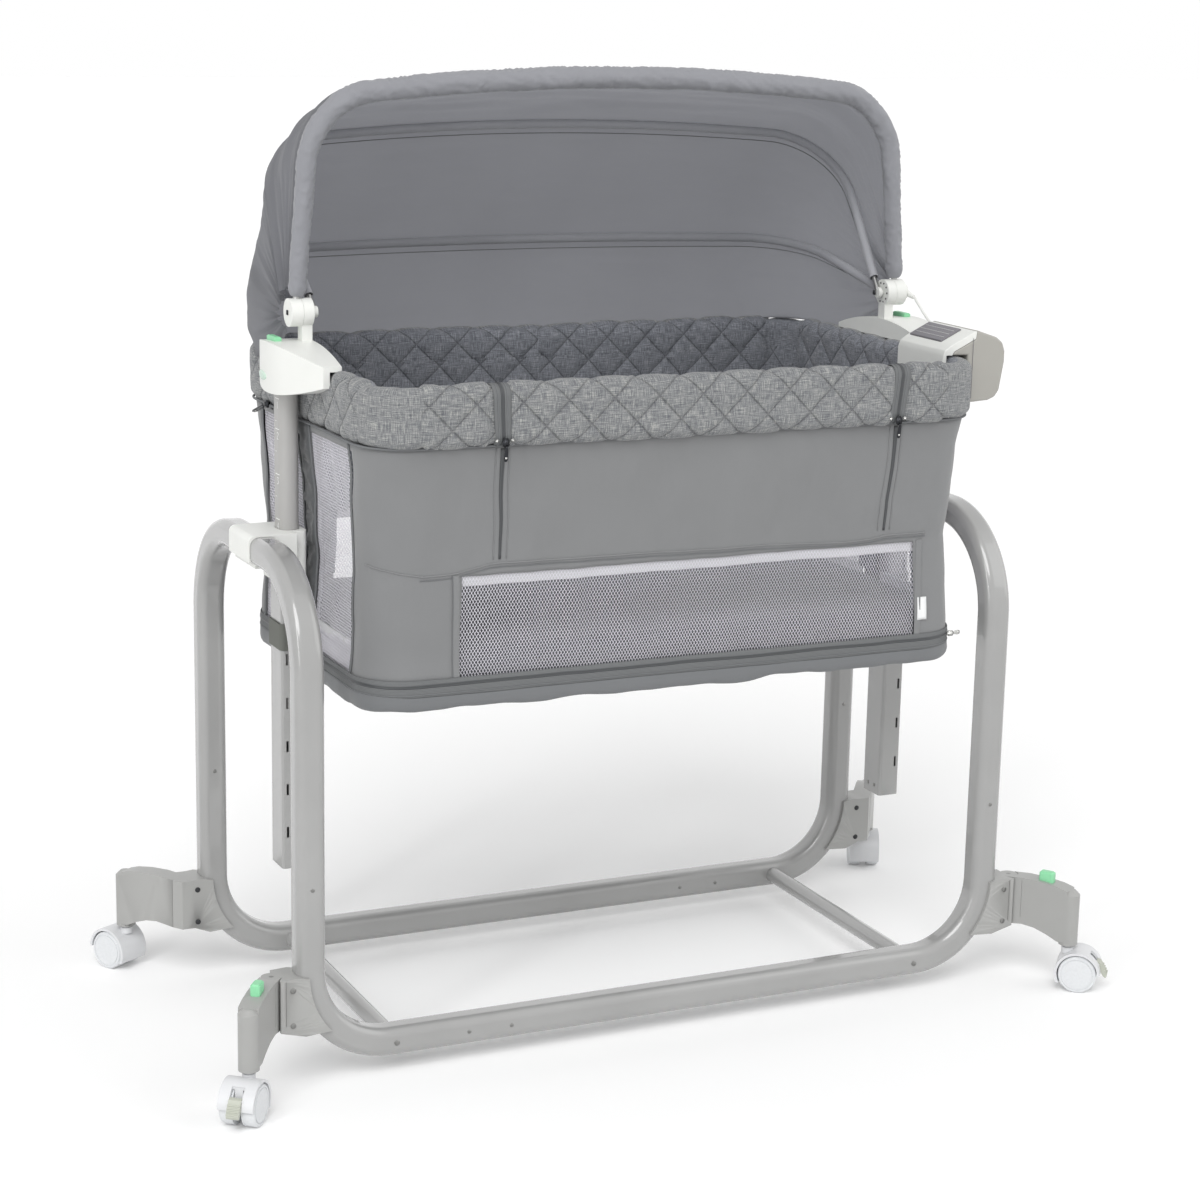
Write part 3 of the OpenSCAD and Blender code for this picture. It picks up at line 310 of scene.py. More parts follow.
def makeFinishes():
    pitch = quilting["pitch"]
    return {
        "stand_enamel": powderCoat("pearl grey powder coat", "#9c9c9b", 0.22, 1.0),
        "post_metal": powderCoat("satin grey powder coat", "#a9a8a6", 0.36),
        "rod_steel": drawnSteel("drawn steel wire", "#b9b9b7", 0.32),
        "screw_steel": drawnSteel("zinc plated steel", "#8f8f8d", 0.35),
        "white_moulding": moulded("white spark textured ABS", "#e6e7e3", 0.36),
        "foot_moulding": moulded("pearl grey moulded ABS", "#a2a2a0", 0.3),
        "green_button": moulded("mint green moulded ABS", "#8fd9a8", 0.35),
        "caster_plastic": moulded("pale grey gloss nylon", "#d9dadc", 0.28),
        "wheel_rubber": rubber("pale grey wheel rubber", "#dcdee0", 0.45),
        "pedal_plastic": moulded("grey green ribbed nylon", "#b9bcb0", 0.42),
        "slider_plastic": moulded("dark acetal", "#55565a", 0.35),
        "canopy_cloth": plainCloth("grey plain weave polyester", "#8f9095", 0.8, glow=0.55),
        "sleeveCloth": plainCloth("grey padded sleeve polyester", "#8d8e93", 0.8),
        # Painted light: the channels get a paler grey than the canopy cloth, so they look lit through the
        # canopy like the cloth round them
        "channelLitCloth": plainCloth("channel cloth made paler as painted light", "#a7a8ad", 0.85),
        "rim_cloth": heatherCloth("light heather polyester", "#595b60", "#7e8082", "#b0b0ab", pitch),
        "heather_cloth": heatherCloth("dark heather polyester", "#53565d", "#787b82", "#a3a5aa", pitch),
        "base_cloth": plainCloth("grey base cloth", "#717375", 0.85),
        "mesh_cloth": plainCloth("white polyester net", "#e4e2ea", 0.7, 0.9, 0.03),
        "mattress_cloth": heatherCloth("charcoal heather jersey", "#424347", "#505155", "#65666b"),
        "strap_webbing": ribbed("grey polyester webbing", "#6e706a"),
        "unit_grey": moulded("warm grey satin ABS", "#a5a39d", 0.4),
        "panel_plastic": moulded("dark grey keypad film", "#7b797e", 0.45, 1.4),
        "lead_sheath": rubber("white vinyl sheath", "#e4e4e1", 0.45),
        "wallCloth": plainCloth("grey wall polyester", "#7f8081", 0.82),
        "bindingCloth": ribbed("grey binding tape", "#707274", 1.6),
        "zipTape": ribbed("grey zip tape", "#6b6d6e", 1.6),
        "zipTeeth": ribbed("dark nylon zip coil", "#46484a", 3.0, 0.4),
        "nickel": drawnSteel("nickel plated zinc", "#c9c9c6", 0.22),
        "darkPull": drawnSteel("gunmetal zip pull", "#3c3d40", 0.3),
        "darkBand": plainCloth("wrinkled dark grey polyester", "#5c5e60", 0.85),
        "paleLining": plainCloth("pale grey lining strip", "#c9c9cc", 0.85),
        "doubleNet": plainCloth("doubled grey net edge", "#9c9ca2", 0.8, 0.9, 0.16),
        "label": plainCloth("white satin label", "#eceded", 0.5, 0.8, 0.02),
        "sightGlass": moulded("pale green clear window", "#c3dacb", 0.2),
        "mark": moulded("white pad print", "#e9eae8", 0.5),
        # Painted shade: the dark colour of shaded holes, bores and openings
        "hole": moulded("shadowed recess", "#26272a", 0.6),
    }


def unitOf(a):  # the same directions at length 1
    return a / np.maximum(np.linalg.norm(a, axis=-1, keepdims=True), 1e-12)


# Length along a line of points, from 0 at its first one
def runOf(points):
    return np.concatenate([[0], np.cumsum(np.linalg.norm(np.diff(points, axis=0), axis=1))])


# Rides a piece on a body
def settle(piece, body="cradle"):
    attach(piece, body)
    return piece


# Gives a new mesh its finish and smooth faces, and an object of the same name
def finishMesh(mesh, finish):
    mesh.materials.append(finishes[finish])
    mesh.polygons.foreach_set("use_smooth", [True] * len(mesh.polygons))
    return addObject(mesh.name, mesh)


def addPiece(name, verts, faces, finish, uvs):
    mesh = bpy.data.meshes.new(name)
    verts = [tuple(v) for v in np.asarray(verts, float)]
    mesh.from_pydata(verts, [], [tuple(int(i) for i in f) for f in faces])
    layer = mesh.uv_layers.new(name="cloth")
    layer.data.foreach_set("uv", np.asarray(uvs, np.float32).ravel())
    piece = finishMesh(mesh, finish)
    mesh.update()
    return piece


# A sheet from rows of points, with its lengths along and across as cloth coordinates. keep[i, j] leaves out
# cells, around joins the last column to the first, and ends closes the first and last row with a face
def addSheet(name, rows, finish, around=False, along=None, across=None, keep=None, flip=False, ends=False):
    rows = np.asarray(rows, float)
    n, m = rows.shape[:2]
    if across is None:
        across = np.concatenate([[0], np.cumsum(np.linalg.norm(np.diff(rows, axis=0), axis=2).mean(1))])
    if along is None:
        steps = np.linalg.norm(np.roll(rows, -1, 1) - rows, axis=2).mean(0)
        along = np.concatenate([[0], np.cumsum(steps)])[:m + 1 if around else m]
    faces, uvs = [], []
    for i in range(n - 1):
        for j in range(m if around else m - 1):
            if keep is not None and not keep[i, j]:
                continue
            k = (j + 1) % m
            face = [i * m + j, i * m + k, (i + 1) * m + k, (i + 1) * m + j]
            far = along[j + 1] if j + 1 < len(along) else along[j]
            uv = [(along[j], across[i]), (far, across[i]), (far, across[i + 1]), (along[j], across[i + 1])]
            if flip:
                face, uv = face[::-1], uv[::-1]
            faces.append(face)
            uvs.extend(uv)
    if ends:
        for i, order in ((0, -1), (n - 1, 1)):
            faces.append([i * m + j for j in range(m)][::order])
            uvs.extend([(along[j % m], across[i]) for j in range(m)])
    used = np.unique([i for f in faces for i in f])
    index = {old: new for new, old in enumerate(used)}
    return addPiece(name, rows.reshape(-1, 3)[used], [[index[i] for i in f] for f in faces], finish, uvs)


# Joins points that coincide, and closes open ends with a face
def weld(piece, caps=False):
    bm = bmesh.new()
    bm.from_mesh(piece.data)
    bmesh.ops.remove_doubles(bm, verts=bm.verts, dist=1e-6)
    if caps:
        bmesh.ops.holes_fill(bm, edges=[e for e in bm.edges if e.is_boundary])
    bm.to_mesh(piece.data)
    bm.free()


# A tube or strip of a section, a list of (sideways, outward), swept along points with outward normals
def sweep(name, points, outward, section, finish, closed=False, caps=False):
    points, outward = np.asarray(points, float), unitOf(np.asarray(outward, float))
    if closed:
        ahead = np.roll(points, -1, 0) - np.roll(points, 1, 0)
    else:
        ahead = np.gradient(points, axis=0)
    ahead = unitOf(ahead)
    outward = unitOf(outward - (outward * ahead).sum(1, keepdims=True) * ahead)
    side = np.cross(ahead, outward)
    section = np.asarray(section, float)
    if section.ndim == 2:
        section = np.repeat(section[None], len(points), 0)
    rings = points[:, None] + section[:, :, :1] * side[:, None] + section[:, :, 1:] * outward[:, None]
    rows = np.swapaxes(rings, 0, 1)
    piece = addSheet(name, np.concatenate([rows, rows[:1]]), finish, around=closed)
    weld(piece, caps)
    return piece


# An oval section; a power above 2 squares it up
def ringSection(w, h, count, power=2.0):
    a = np.linspace(0, 2 * math.pi, count, endpoint=False)
    c, s = np.cos(a), np.sin(a)
    x = w / 2 * np.sign(c) * abs(c) ** (2 / power)
    return np.stack([x, h / 2 * np.sign(s) * abs(s) ** (2 / power)], 1)


# The thickness of a cloth, added to its sheet
def solidify(piece, thickness, offset=-1.0):
    mod = piece.modifiers.new("thickness", "SOLIDIFY")
    mod.thickness = thickness
    mod.offset = offset


# Smooth noise at points, about -0.5 to 0.5 with that many waves in a unit of length, the same on every run
def ripple(points, scale, seed, octaves=2):
    spots = np.asarray(points, float).reshape(-1, 3) * scale + seed
    basis = "PERLIN_ORIGINAL"
    out = np.array([noise.fractal(Vector(p), 1.0, 2.0, octaves, noise_basis=basis) for p in spots])
    return out.reshape(np.asarray(points).shape[:-1])


# A small rounded block, its middle and size in millimetres
def addKnob(name, place, size, finish, body="cradle"):
    size = np.array(size) / 1000
    bm = bmesh.new()
    bmesh.ops.create_cube(bm, size=1.0)
    bmesh.ops.scale(bm, vec=size, verts=bm.verts)
    rounding = min(size) * 0.32
    bmesh.ops.bevel(bm, geom=bm.edges, offset=rounding, segments=3, affect="EDGES", clamp_overlap=True)
    bmesh.ops.translate(bm, vec=np.array(place) / 1000, verts=bm.verts)
    mesh = bpy.data.meshes.new(name)
    bm.to_mesh(mesh)
    bm.free()
    return settle(finishMesh(mesh, finish), body)


# A pull tab: a flat tongue between two points in millimetres, wider at its end, with an eyelet
def addTab(name, start, end, width, finish):
    start, end = np.array(start), np.array(end)
    share = np.linspace(0, 1, 9)
    points = start + (end - start) * share[:, None]
    size = np.interp(share, [0, 0.2, 0.75, 0.95, 1], [0.5, 0.75, 1, 0.95, 0.6]) * width
    section = ringSection(1, 1, 12, 3.0)[None] * np.stack([size, 0 * size + 1.6], 1)[:, None]
    facing = np.tile((0, -1.0, 0.1), (len(share), 1))
    tongue = sweep(name, points / 1000, facing, section / 1000, finish, caps=True)
    settle(tongue, "cradle")
    eye = end + (start - end) * 0.22 + (0, -0.9, 0)
    addKnob(name + "Eye", eye, (width * 0.45, 0.6, width * 0.45), "nickel")


# Rounding in millimetres of the edges of the hard nodes that are seen close to
easedNodes = {
    "left_end_bracket": 7.0, "right_end_bracket": 7.0, "unit_cover": 4.0, "unit_body": 9.0,
    "post_collars": 3.0, "rear_left_foot": 5.0, "rear_right_foot": 5.0, "front_left_foot": 3.0,
    "front_right_foot": 3.0, "front_left_arm": 5.0, "front_right_arm": 5.0, "canopy_uprights": 1.5,
    "front_left_foot_button": 2.0, "front_right_foot_button": 2.0, "left_release_button": 2.0,
    "right_release_button": 2.0, "front_left_brake": 0.6, "front_right_brake": 0.6, "unit_panel": 0.8,
    "front_left_caster": 1.2, "front_right_caster": 1.2, "rear_left_caster": 1.2, "rear_right_caster": 1.2,
    "front_hoop": 1.0, "mid_hoop": 1.0, "frame_fasteners": 0.0, "post_straps": 1.0,
}
# How they are rounded: points nearer than weld are joined (mm), faces within flat of each other merged
# (degrees), and every edge sharper than edgeAngle is bevelled by its node's width or the least one
easing = {"weld": 0.02, "flat": 0.5, "least": 0.1, "segments": 4, "edgeAngle": 28}
# The canopy's hubs in millimetres: disc, centre holes and the ring of rivets on the right one
hub = {
    "z": 899, "discR": 19, "beyondX": 380, "rightHoleX": 384.0, "leftHoleX": -424.6, "hole": (1.8, 6.0, 6.0),
    "dots": 10, "dotX": 395.8, "dotRing": 12.5, "dot": (1.2, 2.2, 2.2),
}
bore = {"fromY": 100, "beyondX": 485}  # frame fasteners past these stand in bores and take the dark colour of painted shade


# Which finish a face of a mixed node takes, from its middle
def finishAt(node, middle):
    x, y, z = (1000 * c for c in middle)
    inDisc = math.hypot(y, z - hub["z"]) < hub["discR"] and abs(x) > hub["beyondX"]
    if node in ("front_hoop", "mid_hoop") and inDisc:
        return "white_moulding"
    if node == "frame_fasteners" and y > bore["fromY"] and abs(x) > bore["beyondX"]:
        return "hole"
    return slotOf[node]


# Takes the place of a hard node with its own mesh, its edges rounded
def easeNode(node, width):
    mesh = nodes[node].data.copy()
    bm = bmesh.new()
    bm.from_mesh(mesh)
    bmesh.ops.remove_doubles(bm, verts=bm.verts, dist=easing["weld"] / 1000)
    if width:
        flat = math.radians(easing["flat"])
        bmesh.ops.dissolve_limit(bm, angle_limit=flat, verts=bm.verts, edges=bm.edges)
    bm.to_mesh(mesh)
    bm.free()
    for key in ("custom_normal", "sharp_edge"):
        if key in mesh.attributes:
            mesh.attributes.remove(mesh.attributes[key])
    mesh.polygons.foreach_set("use_smooth", [True] * len(mesh.polygons))
    mesh.materials.clear()
    found = [finishAt(node, p.center) for p in mesh.polygons]
    kinds = sorted(set(found))
    for kind in kinds:
        mesh.materials.append(finishes[kind])
    mesh.polygons.foreach_set("material_index", [kinds.index(f) for f in found])
    piece = addObject(node + "_eased", mesh)
    bevel = piece.modifiers.new("edges", "BEVEL")
    bevel.width = max(width, easing["least"]) / 1000
    bevel.segments = easing["segments"]
    bevel.limit_method = "ANGLE"
    bevel.angle_limit = math.radians(easing["edgeAngle"])
    bevel.use_clamp_overlap = True
    even = piece.modifiers.new("normals", "WEIGHTED_NORMAL")
    even.keep_sharp = True
    settle(piece, bodyOf[node])
    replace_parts(piece, node)


# The fabric cradle in millimetres: half sizes of its plan at three heights, half lengths of the straight runs
# that its columns of points are counted on, and the openings for the nets in its long walls and its ends
cradle = {
    "levels": (480, 614, 768), "halfX": (404, 397, 405), "halfY": (226, 223, 238), "corner": 60,
    "straightX": 341, "straightY": 166, "cell": 6.0, "inset": 0.3, "cloth": 0.7,
    "windowX": (-290, 328), "windowZ": (490, 612), "bandY": 22, "panelY": 157, "panelZ": (490, 758),
}
# The padded rim in millimetres: half sizes of its outer face, its height, the rounding of its section, the
# depth of its puckers, how far the cloth sinks between them, and its mesh. Its front lies beyond frontY
rim = {
    "x": 408, "y": 252, "thick": 30, "low": 768, "high": 840, "round": 13.5, "frontY": -150,
    "wave": 1.5, "pucker": 0.8, "sink": 2.2, "around": 60, "cell": 2.6,
}


# Even steps from low to high that also stop at each break between them
def spans(low, high, breaks, step):
    marks = [low, *[b for b in sorted(breaks) if low < b < high], high]
    out = []
    for a, b in zip(marks, marks[1:]):
        out += list(np.linspace(a, b, max(1, round((b - a) / step)) + 1)[:-1])
    return np.array(out)


# Columns round the plan, anticlockwise from the rear middle: which side, and how far along it as a share.
# Sides 0, 2, 4, 6 and 8 are straight (rear, left, front, right, rear) and the odd ones are corners
def planColumns(step):
    longStep, endStep = step / cradle["straightX"], step / cradle["straightY"]
    longBreaks = [x / cradle["straightX"] for x in cradle["windowX"]]
    rearBreaks = [-b for b in longBreaks]
    endBreaks = [s * y / cradle["straightY"] for y in (cradle["bandY"], cradle["panelY"]) for s in (-1, 1)]
    arcs = np.linspace(0, 1, max(8, round(cradle["corner"] * math.pi / 2 / step)) + 1)[:-1]
    cols = [(0, f) for f in spans(0, 1, rearBreaks, longStep)]
    cols += [(1, f) for f in arcs] + [(2, f) for f in spans(-1, 1, endBreaks, endStep)]
    cols += [(3, f) for f in arcs] + [(4, f) for f in spans(-1, 1, longBreaks, longStep)]
    cols += [(5, f) for f in arcs] + [(6, f) for f in spans(-1, 1, endBreaks, endStep)]
    cols += [(7, f) for f in arcs] + [(8, f) for f in spans(-1, 0, rearBreaks, longStep)]
    return cols


# Plan point and outward normal, in millimetres, of each column for an outline of that half size and corner
def planPoints(cols, hx, hy, r):
    facing = {0: (0, 1), 2: (-1, 0), 4: (0, -1), 6: (1, 0), 8: (0, 1)}
    corners = {1: (-1, 1, 90), 3: (-1, -1, 180), 5: (1, -1, 270), 7: (1, 1, 0)}
    points, normals = [], []
    for side, f in cols:
        if side in facing:
            nx, ny = facing[side]
            points.append((nx * hx - ny * f * (hx - r), ny * hy + nx * f * (hy - r)))
        else:
            sx, sy, start = corners[side]
            turn = math.radians(start + 90 * f)
            nx, ny = math.cos(turn), math.sin(turn)
            points.append((sx * (hx - r) + r * nx, sy * (hy - r) + r * ny))
        normals.append((nx, ny))
    return np.array(points), np.array(normals)


# Points in metres and normals of a ring round the cradle at a height, raised by out from the outline
def ringAt(points, normals, z, out=0.0):
    flat = points + normals * out
    rise = np.zeros((len(normals), 1))
    return np.concatenate([flat, rise + z], 1) / 1000, np.concatenate([normals, rise], 1)


# The ring of the walls at a height
def wallAt(cols, z, out):
    hx = np.interp(z, cradle["levels"], cradle["halfX"])
    hy = np.interp(z, cradle["levels"], cradle["halfY"])
    return ringAt(*planPoints(cols, hx, hy, cradle["corner"]), z, out)


# Length round the rim's outline at each column, in millimetres
def planLength(cols):
    points, _ = planPoints(cols, rim["x"], rim["y"], cradle["corner"])
    return runOf(np.concatenate([points, points[:1]]))


# How the wall cloth hangs, in millimetres: broad waves, fine upright ones, and the strip it is calm in
hang = {"broad": 3.8, "fine": 2.2, "inward": 1, "calm": 40}


# How far the wall cloth sways outward, in metres, at points in metres; calm at the hem and under the rim
def sway(points):
    z = points[..., 2] * 1000
    broad = ripple(points, 9.0, 3.1, 3) * hang["broad"] / 1000
    fine = ripple(points * (1, 1, 0.3), 26.0, 8.4, 2) * hang["fine"] / 1000
    fromEdge = np.minimum(z - cradle["levels"][0], cradle["levels"][-1] - z)
    return (broad + fine - hang["inward"] / 1000) * np.clip(fromEdge / hang["calm"], 0, 1)


# Points in metres and outward normals on a wall for places (along, z) in millimetres, raised by out
def onWall(side, along, z, out=0.0):
    along, z = np.broadcast_arrays(np.asarray(along, float), np.asarray(z, float))
    zero = np.zeros_like(along)
    s = -1.0 if side in ("front", "left") else 1.0
    if side in ("front", "rear"):
        flat = np.stack([along, s * np.interp(z, cradle["levels"], cradle["halfY"]), z], -1) / 1000
        normal = np.stack([zero, zero + s, zero], -1)
    else:
        flat = np.stack([s * np.interp(z, cradle["levels"], cradle["halfX"]), along, z], -1) / 1000
        normal = np.stack([zero + s, zero, zero], -1)
    return flat + normal * (sway(flat) + out / 1000)[..., None], normal


# A flat strip or a cord lying on a wall along a path of (along, z); taper gives its width at both ends
def wallStrip(name, side, path, width, thick, finish, out, power=3.0, taper=None):
    path = np.asarray(path, float)
    run = runOf(path)
    at = np.linspace(0, run[-1], max(3, round(run[-1] / cradle["cell"])))
    points, normals = onWall(side, np.interp(at, run, path[:, 0]), np.interp(at, run, path[:, 1]), out)
    section = np.repeat(ringSection(width, thick, 10, power)[None] / 1000, len(at), 0)
    if taper:
        section[:, :, 0] *= np.interp(at / run[-1], [0, 1], taper)[:, None]
    settle(sweep(name, points, normals, section, finish, caps=True))


# A band or cord right round the cradle at one height
def wallRing(name, z, width, thick, finish, out, power=3.0, wave=0.0):
    points, normals = wallAt(planColumns(8.0), z, out)
    points[:, 2] += ripple(points, 18.0, z) * wave / 1000
    settle(sweep(name, points, normals, ringSection(width, thick, 10, power) / 1000, finish, closed=True))


# Height of a quilted pad over its stitched lines, which run both ways at 45 degrees
def quilt(s, v, rise):
    def gap(t):
        t = np.mod(t, quilting["pitch"])
        return np.minimum(t, quilting["pitch"] - t)

    nearest = np.minimum(gap((s + v) * 0.7071), gap((s - v) * 0.7071))
    t = np.clip(nearest / quilting["crease"], 0, 1)
    return rise * np.sqrt(t * (2 - t))


# 1 where the pad is quilted, near 0 in the plain corners
def plainCorners(cols):
    fade = {0: 0.015, 4: 0.015, 8: 0.015, 2: 0.03, 6: 0.03}  # shares of the straight runs
    out = np.full(len(cols), quilting["plain"])
    for j, (side, f) in enumerate(cols):
        if side in fade:
            out[j] = np.interp(1 - abs(f), [0.0, fade[side]], [quilting["plain"], 1])
    return out


# Marks which points of a pad carry the stitched quilting, for its finish
def markQuilted(piece, shares, rows):
    layer = piece.data.attributes.new("quilted", "FLOAT", "POINT")
    values = np.repeat(shares[None], rows, 0).ravel()
    layer.data.foreach_set("value", values[:len(layer.data)])


def inside(value, limits):
    return limits[0] < value < limits[1]


# False for the cells of a sheet of the walls that lie in the openings for the nets
def windowCells(cols, rowZ):
    keep = np.ones((len(rowZ) - 1, len(cols)), bool)
    for j, (side, f) in enumerate(cols):
        for i in range(len(rowZ) - 1):
            z = (rowZ[i] + rowZ[i + 1]) / 2
            if side in (0, 8, 4):
                s = 1 if side == 4 else -1
                x = s * (f * cradle["straightX"] + 1)
                if inside(x, cradle["windowX"]) and inside(z, cradle["windowZ"]):
                    keep[i, j] = False
            elif side in (2, 6):
                y = abs(f * cradle["straightY"] + 1)
                if inside(y, (cradle["bandY"], cradle["panelY"])) and inside(z, cradle["panelZ"]):
                    keep[i, j] = False
    return keep


# The outer cloth of the four walls, from the hem up behind the rim
def makeWalls():
    cols = planColumns(cradle["cell"])
    low, high = cradle["windowZ"]
    top = cradle["levels"][-1]
    rowZ = np.concatenate([[low - 14, low - 10, low - 5], np.linspace(low, high, 19), [high + 5],
                           np.linspace(high + 12, cradle["panelZ"][1], 21), [top - 5, top + 1]])
    rows, normals = (np.array(part) for part in zip(*[wallAt(cols, z, -cradle["inset"]) for z in rowZ]))
    rows = rows + normals * sway(rows)[..., None]
    walls = addSheet("wallCloth", rows, "wallCloth", around=True, along=planLength(cols) / 1000,
                     across=rowZ / 1000, keep=windowCells(cols, rowZ))
    solidify(walls, cradle["cloth"] / 1000)
    settle(walls)
    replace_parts(walls, "front_wall", "rear_wall", "left_wall", "right_wall")


# The quilted lining, from the mattress up to the rim; above leanFrom it leans in by lean.
# rimRun counts down its height from the count round the rim, so that the stitched lines run on
lining = {
    "cell": 3.6, "low": 526, "top": 802, "inset": 4.2, "leanFrom": 690, "lean": 0.16,
    "rimRun": 938.1, "pucker": 0.8, "mostSway": 2,
}


def makeLining():
    cols = planColumns(lining["cell"])
    length = planLength(cols)
    windowTop = cradle["windowZ"][1]
    rowZ = np.concatenate([np.linspace(lining["low"], windowTop, 22),
                           np.linspace(windowTop + 3, lining["top"], 62)])
    rings = []
    for z in rowZ:
        leanIn = max(0, z - lining["leanFrom"]) * lining["lean"]
        rings.append(wallAt(cols, min(z, cradle["levels"][-1]), -lining["inset"] - leanIn))
    rows, normals = (np.array(part) for part in zip(*rings))
    rows[:, :, 2] = rowZ[:, None] / 1000
    downRim = lining["rimRun"] - rowZ
    pad = quilt(length[None, :-1], downRim[:, None], quilting["liningRise"])
    pad = pad * (0.25 + 0.75 * plainCorners(cols))[None] - 0.4 + ripple(rows, 40.0, 5.0) * lining["pucker"]
    swayed = np.minimum(sway(rows), lining["mostSway"] / 1000)
    rows = rows - normals * (pad / 1000)[..., None] + normals * swayed[..., None]
    pad = addSheet("quiltedLining", rows, "heather_cloth", around=True, along=length / 1000,
                   across=downRim / 1000, keep=windowCells(cols, rowZ), flip=True)
    markQuilted(pad, np.ones(len(cols)), len(rowZ))
    settle(pad, "cradle")


# The knitted nets in millimetres: threads zigzag between rows, heavier in the ends, a little behind the
# cloth. least is the share of its flat area that a net's threads count for
net = {
    "cell": 4.0, "rowRise": 0.875, "thread": 1.05, "endThread": 2.3, "zigzag": 0.45, "behind": 1.6,
    "over": 0.12, "uvStep": 0.002, "least": 0.305,
}


# Net of zigzag threads over one window of a wall, from low to high along it and in height
def makeNet(name, side, low, high, floorZ, topZ, thread=net["thread"]):
    width, height = high - low, topZ - floorZ
    across, up = round(width / (net["cell"] / 2)), round(height / (net["cell"] * net["rowRise"]))
    u = np.linspace(low, high, across + 1)
    turn = np.where(np.arange(across + 1) % 2, 1.0, -1.0)
    rows = np.arange(up)[:, None]
    pitch = height / up
    z = floorZ + (rows + 0.5) * pitch + np.where(rows % 2, 1, -1) * turn[None] * pitch * net["zigzag"]
    z = np.clip(z, floorZ, topZ)
    points, normals = onWall(side, np.repeat(u[None], up, 0), z, -net["behind"])
    points = points + normals * (turn * net["over"] / 1000)[None, :, None]
    verts = np.stack([points + (0, 0, s * thread / 2000) for s in (-1, 1)], 1).reshape(-1, 3)
    m = across + 1
    first = (np.arange(up)[:, None] * 2 * m + np.arange(across)[None]).ravel()
    faces = np.stack([first, first + 1, first + m + 1, first + m], 1)
    uvs = np.stack([np.stack([first * net["uvStep"], first * 0.0], 1)] * 4, 1).reshape(-1, 2)
    piece = settle(addPiece(name, verts, faces, "mesh_cloth", uvs), "cradle")
    return piece


def makeNets():
    window, panel = (*cradle["windowX"], *cradle["windowZ"]), cradle["panelZ"]
    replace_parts(makeNet("frontNet", "front", *window), "mesh_windows")
    makeNet("rearNet", "rear", *window)
    for end in ("left", "right"):
        makeNet(end + "FrontNet", end, -cradle["panelY"], -cradle["bandY"], *panel, net["endThread"])
        makeNet(end + "RearNet", end, cradle["bandY"], cradle["panelY"], *panel, net["endThread"])


# Section of the padded rim as (outward, height) from its middle, anticlockwise from the outer bottom
def rimSection():
    hw, hh, r = rim["thick"] / 2, (rim["high"] - rim["low"]) / 2, rim["round"]
    outline = []
    for sx, sy, start in ((1, -1, -90), (1, 1, 0), (-1, 1, 90), (-1, -1, 180)):
        cx, cy = sx * (hw - r), sy * (hh - r)
        turns = [math.radians(start + t) for t in np.linspace(0, 90, 7)]
        outline += [(cx + r * math.cos(a), cy + r * math.sin(a)) for a in turns]
    outline = np.array(outline + outline[:1])
    run = runOf(outline)
    at = np.linspace(0, run[-1], rim["around"] + 1)[:-1]
    sec = np.stack([np.interp(at, run, outline[:, k]) for k in (0, 1)], 1)
    t = np.gradient(np.concatenate([sec[-1:], sec, sec[:1]]), axis=0)[1:-1]
    return sec, unitOf(np.stack([t[:, 1], -t[:, 0]], 1)), at


def rimSway(points):  # broad waves of the rim's filling, in millimetres
    return ripple(points, 12.0, 9.2, 2) * rim["wave"]


# The two zips of the rim's front, left and right, in millimetres. A tape covers tapeRun of the rim's section
# from top to low, and the zip line goes on down the wall from seam to seamEnd between the heights seamZ.
# Stops, slider and tab are placed as (y, z)
zips = {
    "top": (-252, 281.5), "low": (-249, 274), "width": 23, "tapeRun": (5, 108), "pressed": (11, 6),
    "seam": (-244, 282), "seamEnd": (-240, 279), "seamZ": (764, 630), "flap": 8.45,
    "stop": (-254.5, 776), "slider": (-255.5, 773.5), "tabTop": (-258.5, 770), "tabEnd": (-256.5, 752),
}


# 1 on the open rim, 0 where a zip tape presses the front of it flat
def clearOfZips(points):
    near = np.min([abs(points[..., 0] * 1000 - x) for x in zips["top"]], 0)
    flat, fade = zips["pressed"]
    return np.where(points[..., 1] < rim["frontY"] / 1000, np.clip((near - flat) / fade, 0, 1), 1.0)


# Seams of the rim's front that join its plain corner pieces: places along it, depth and half width
rimSeams = {"x": (-345, -324, 345), "depth": 1.5, "half": 4}


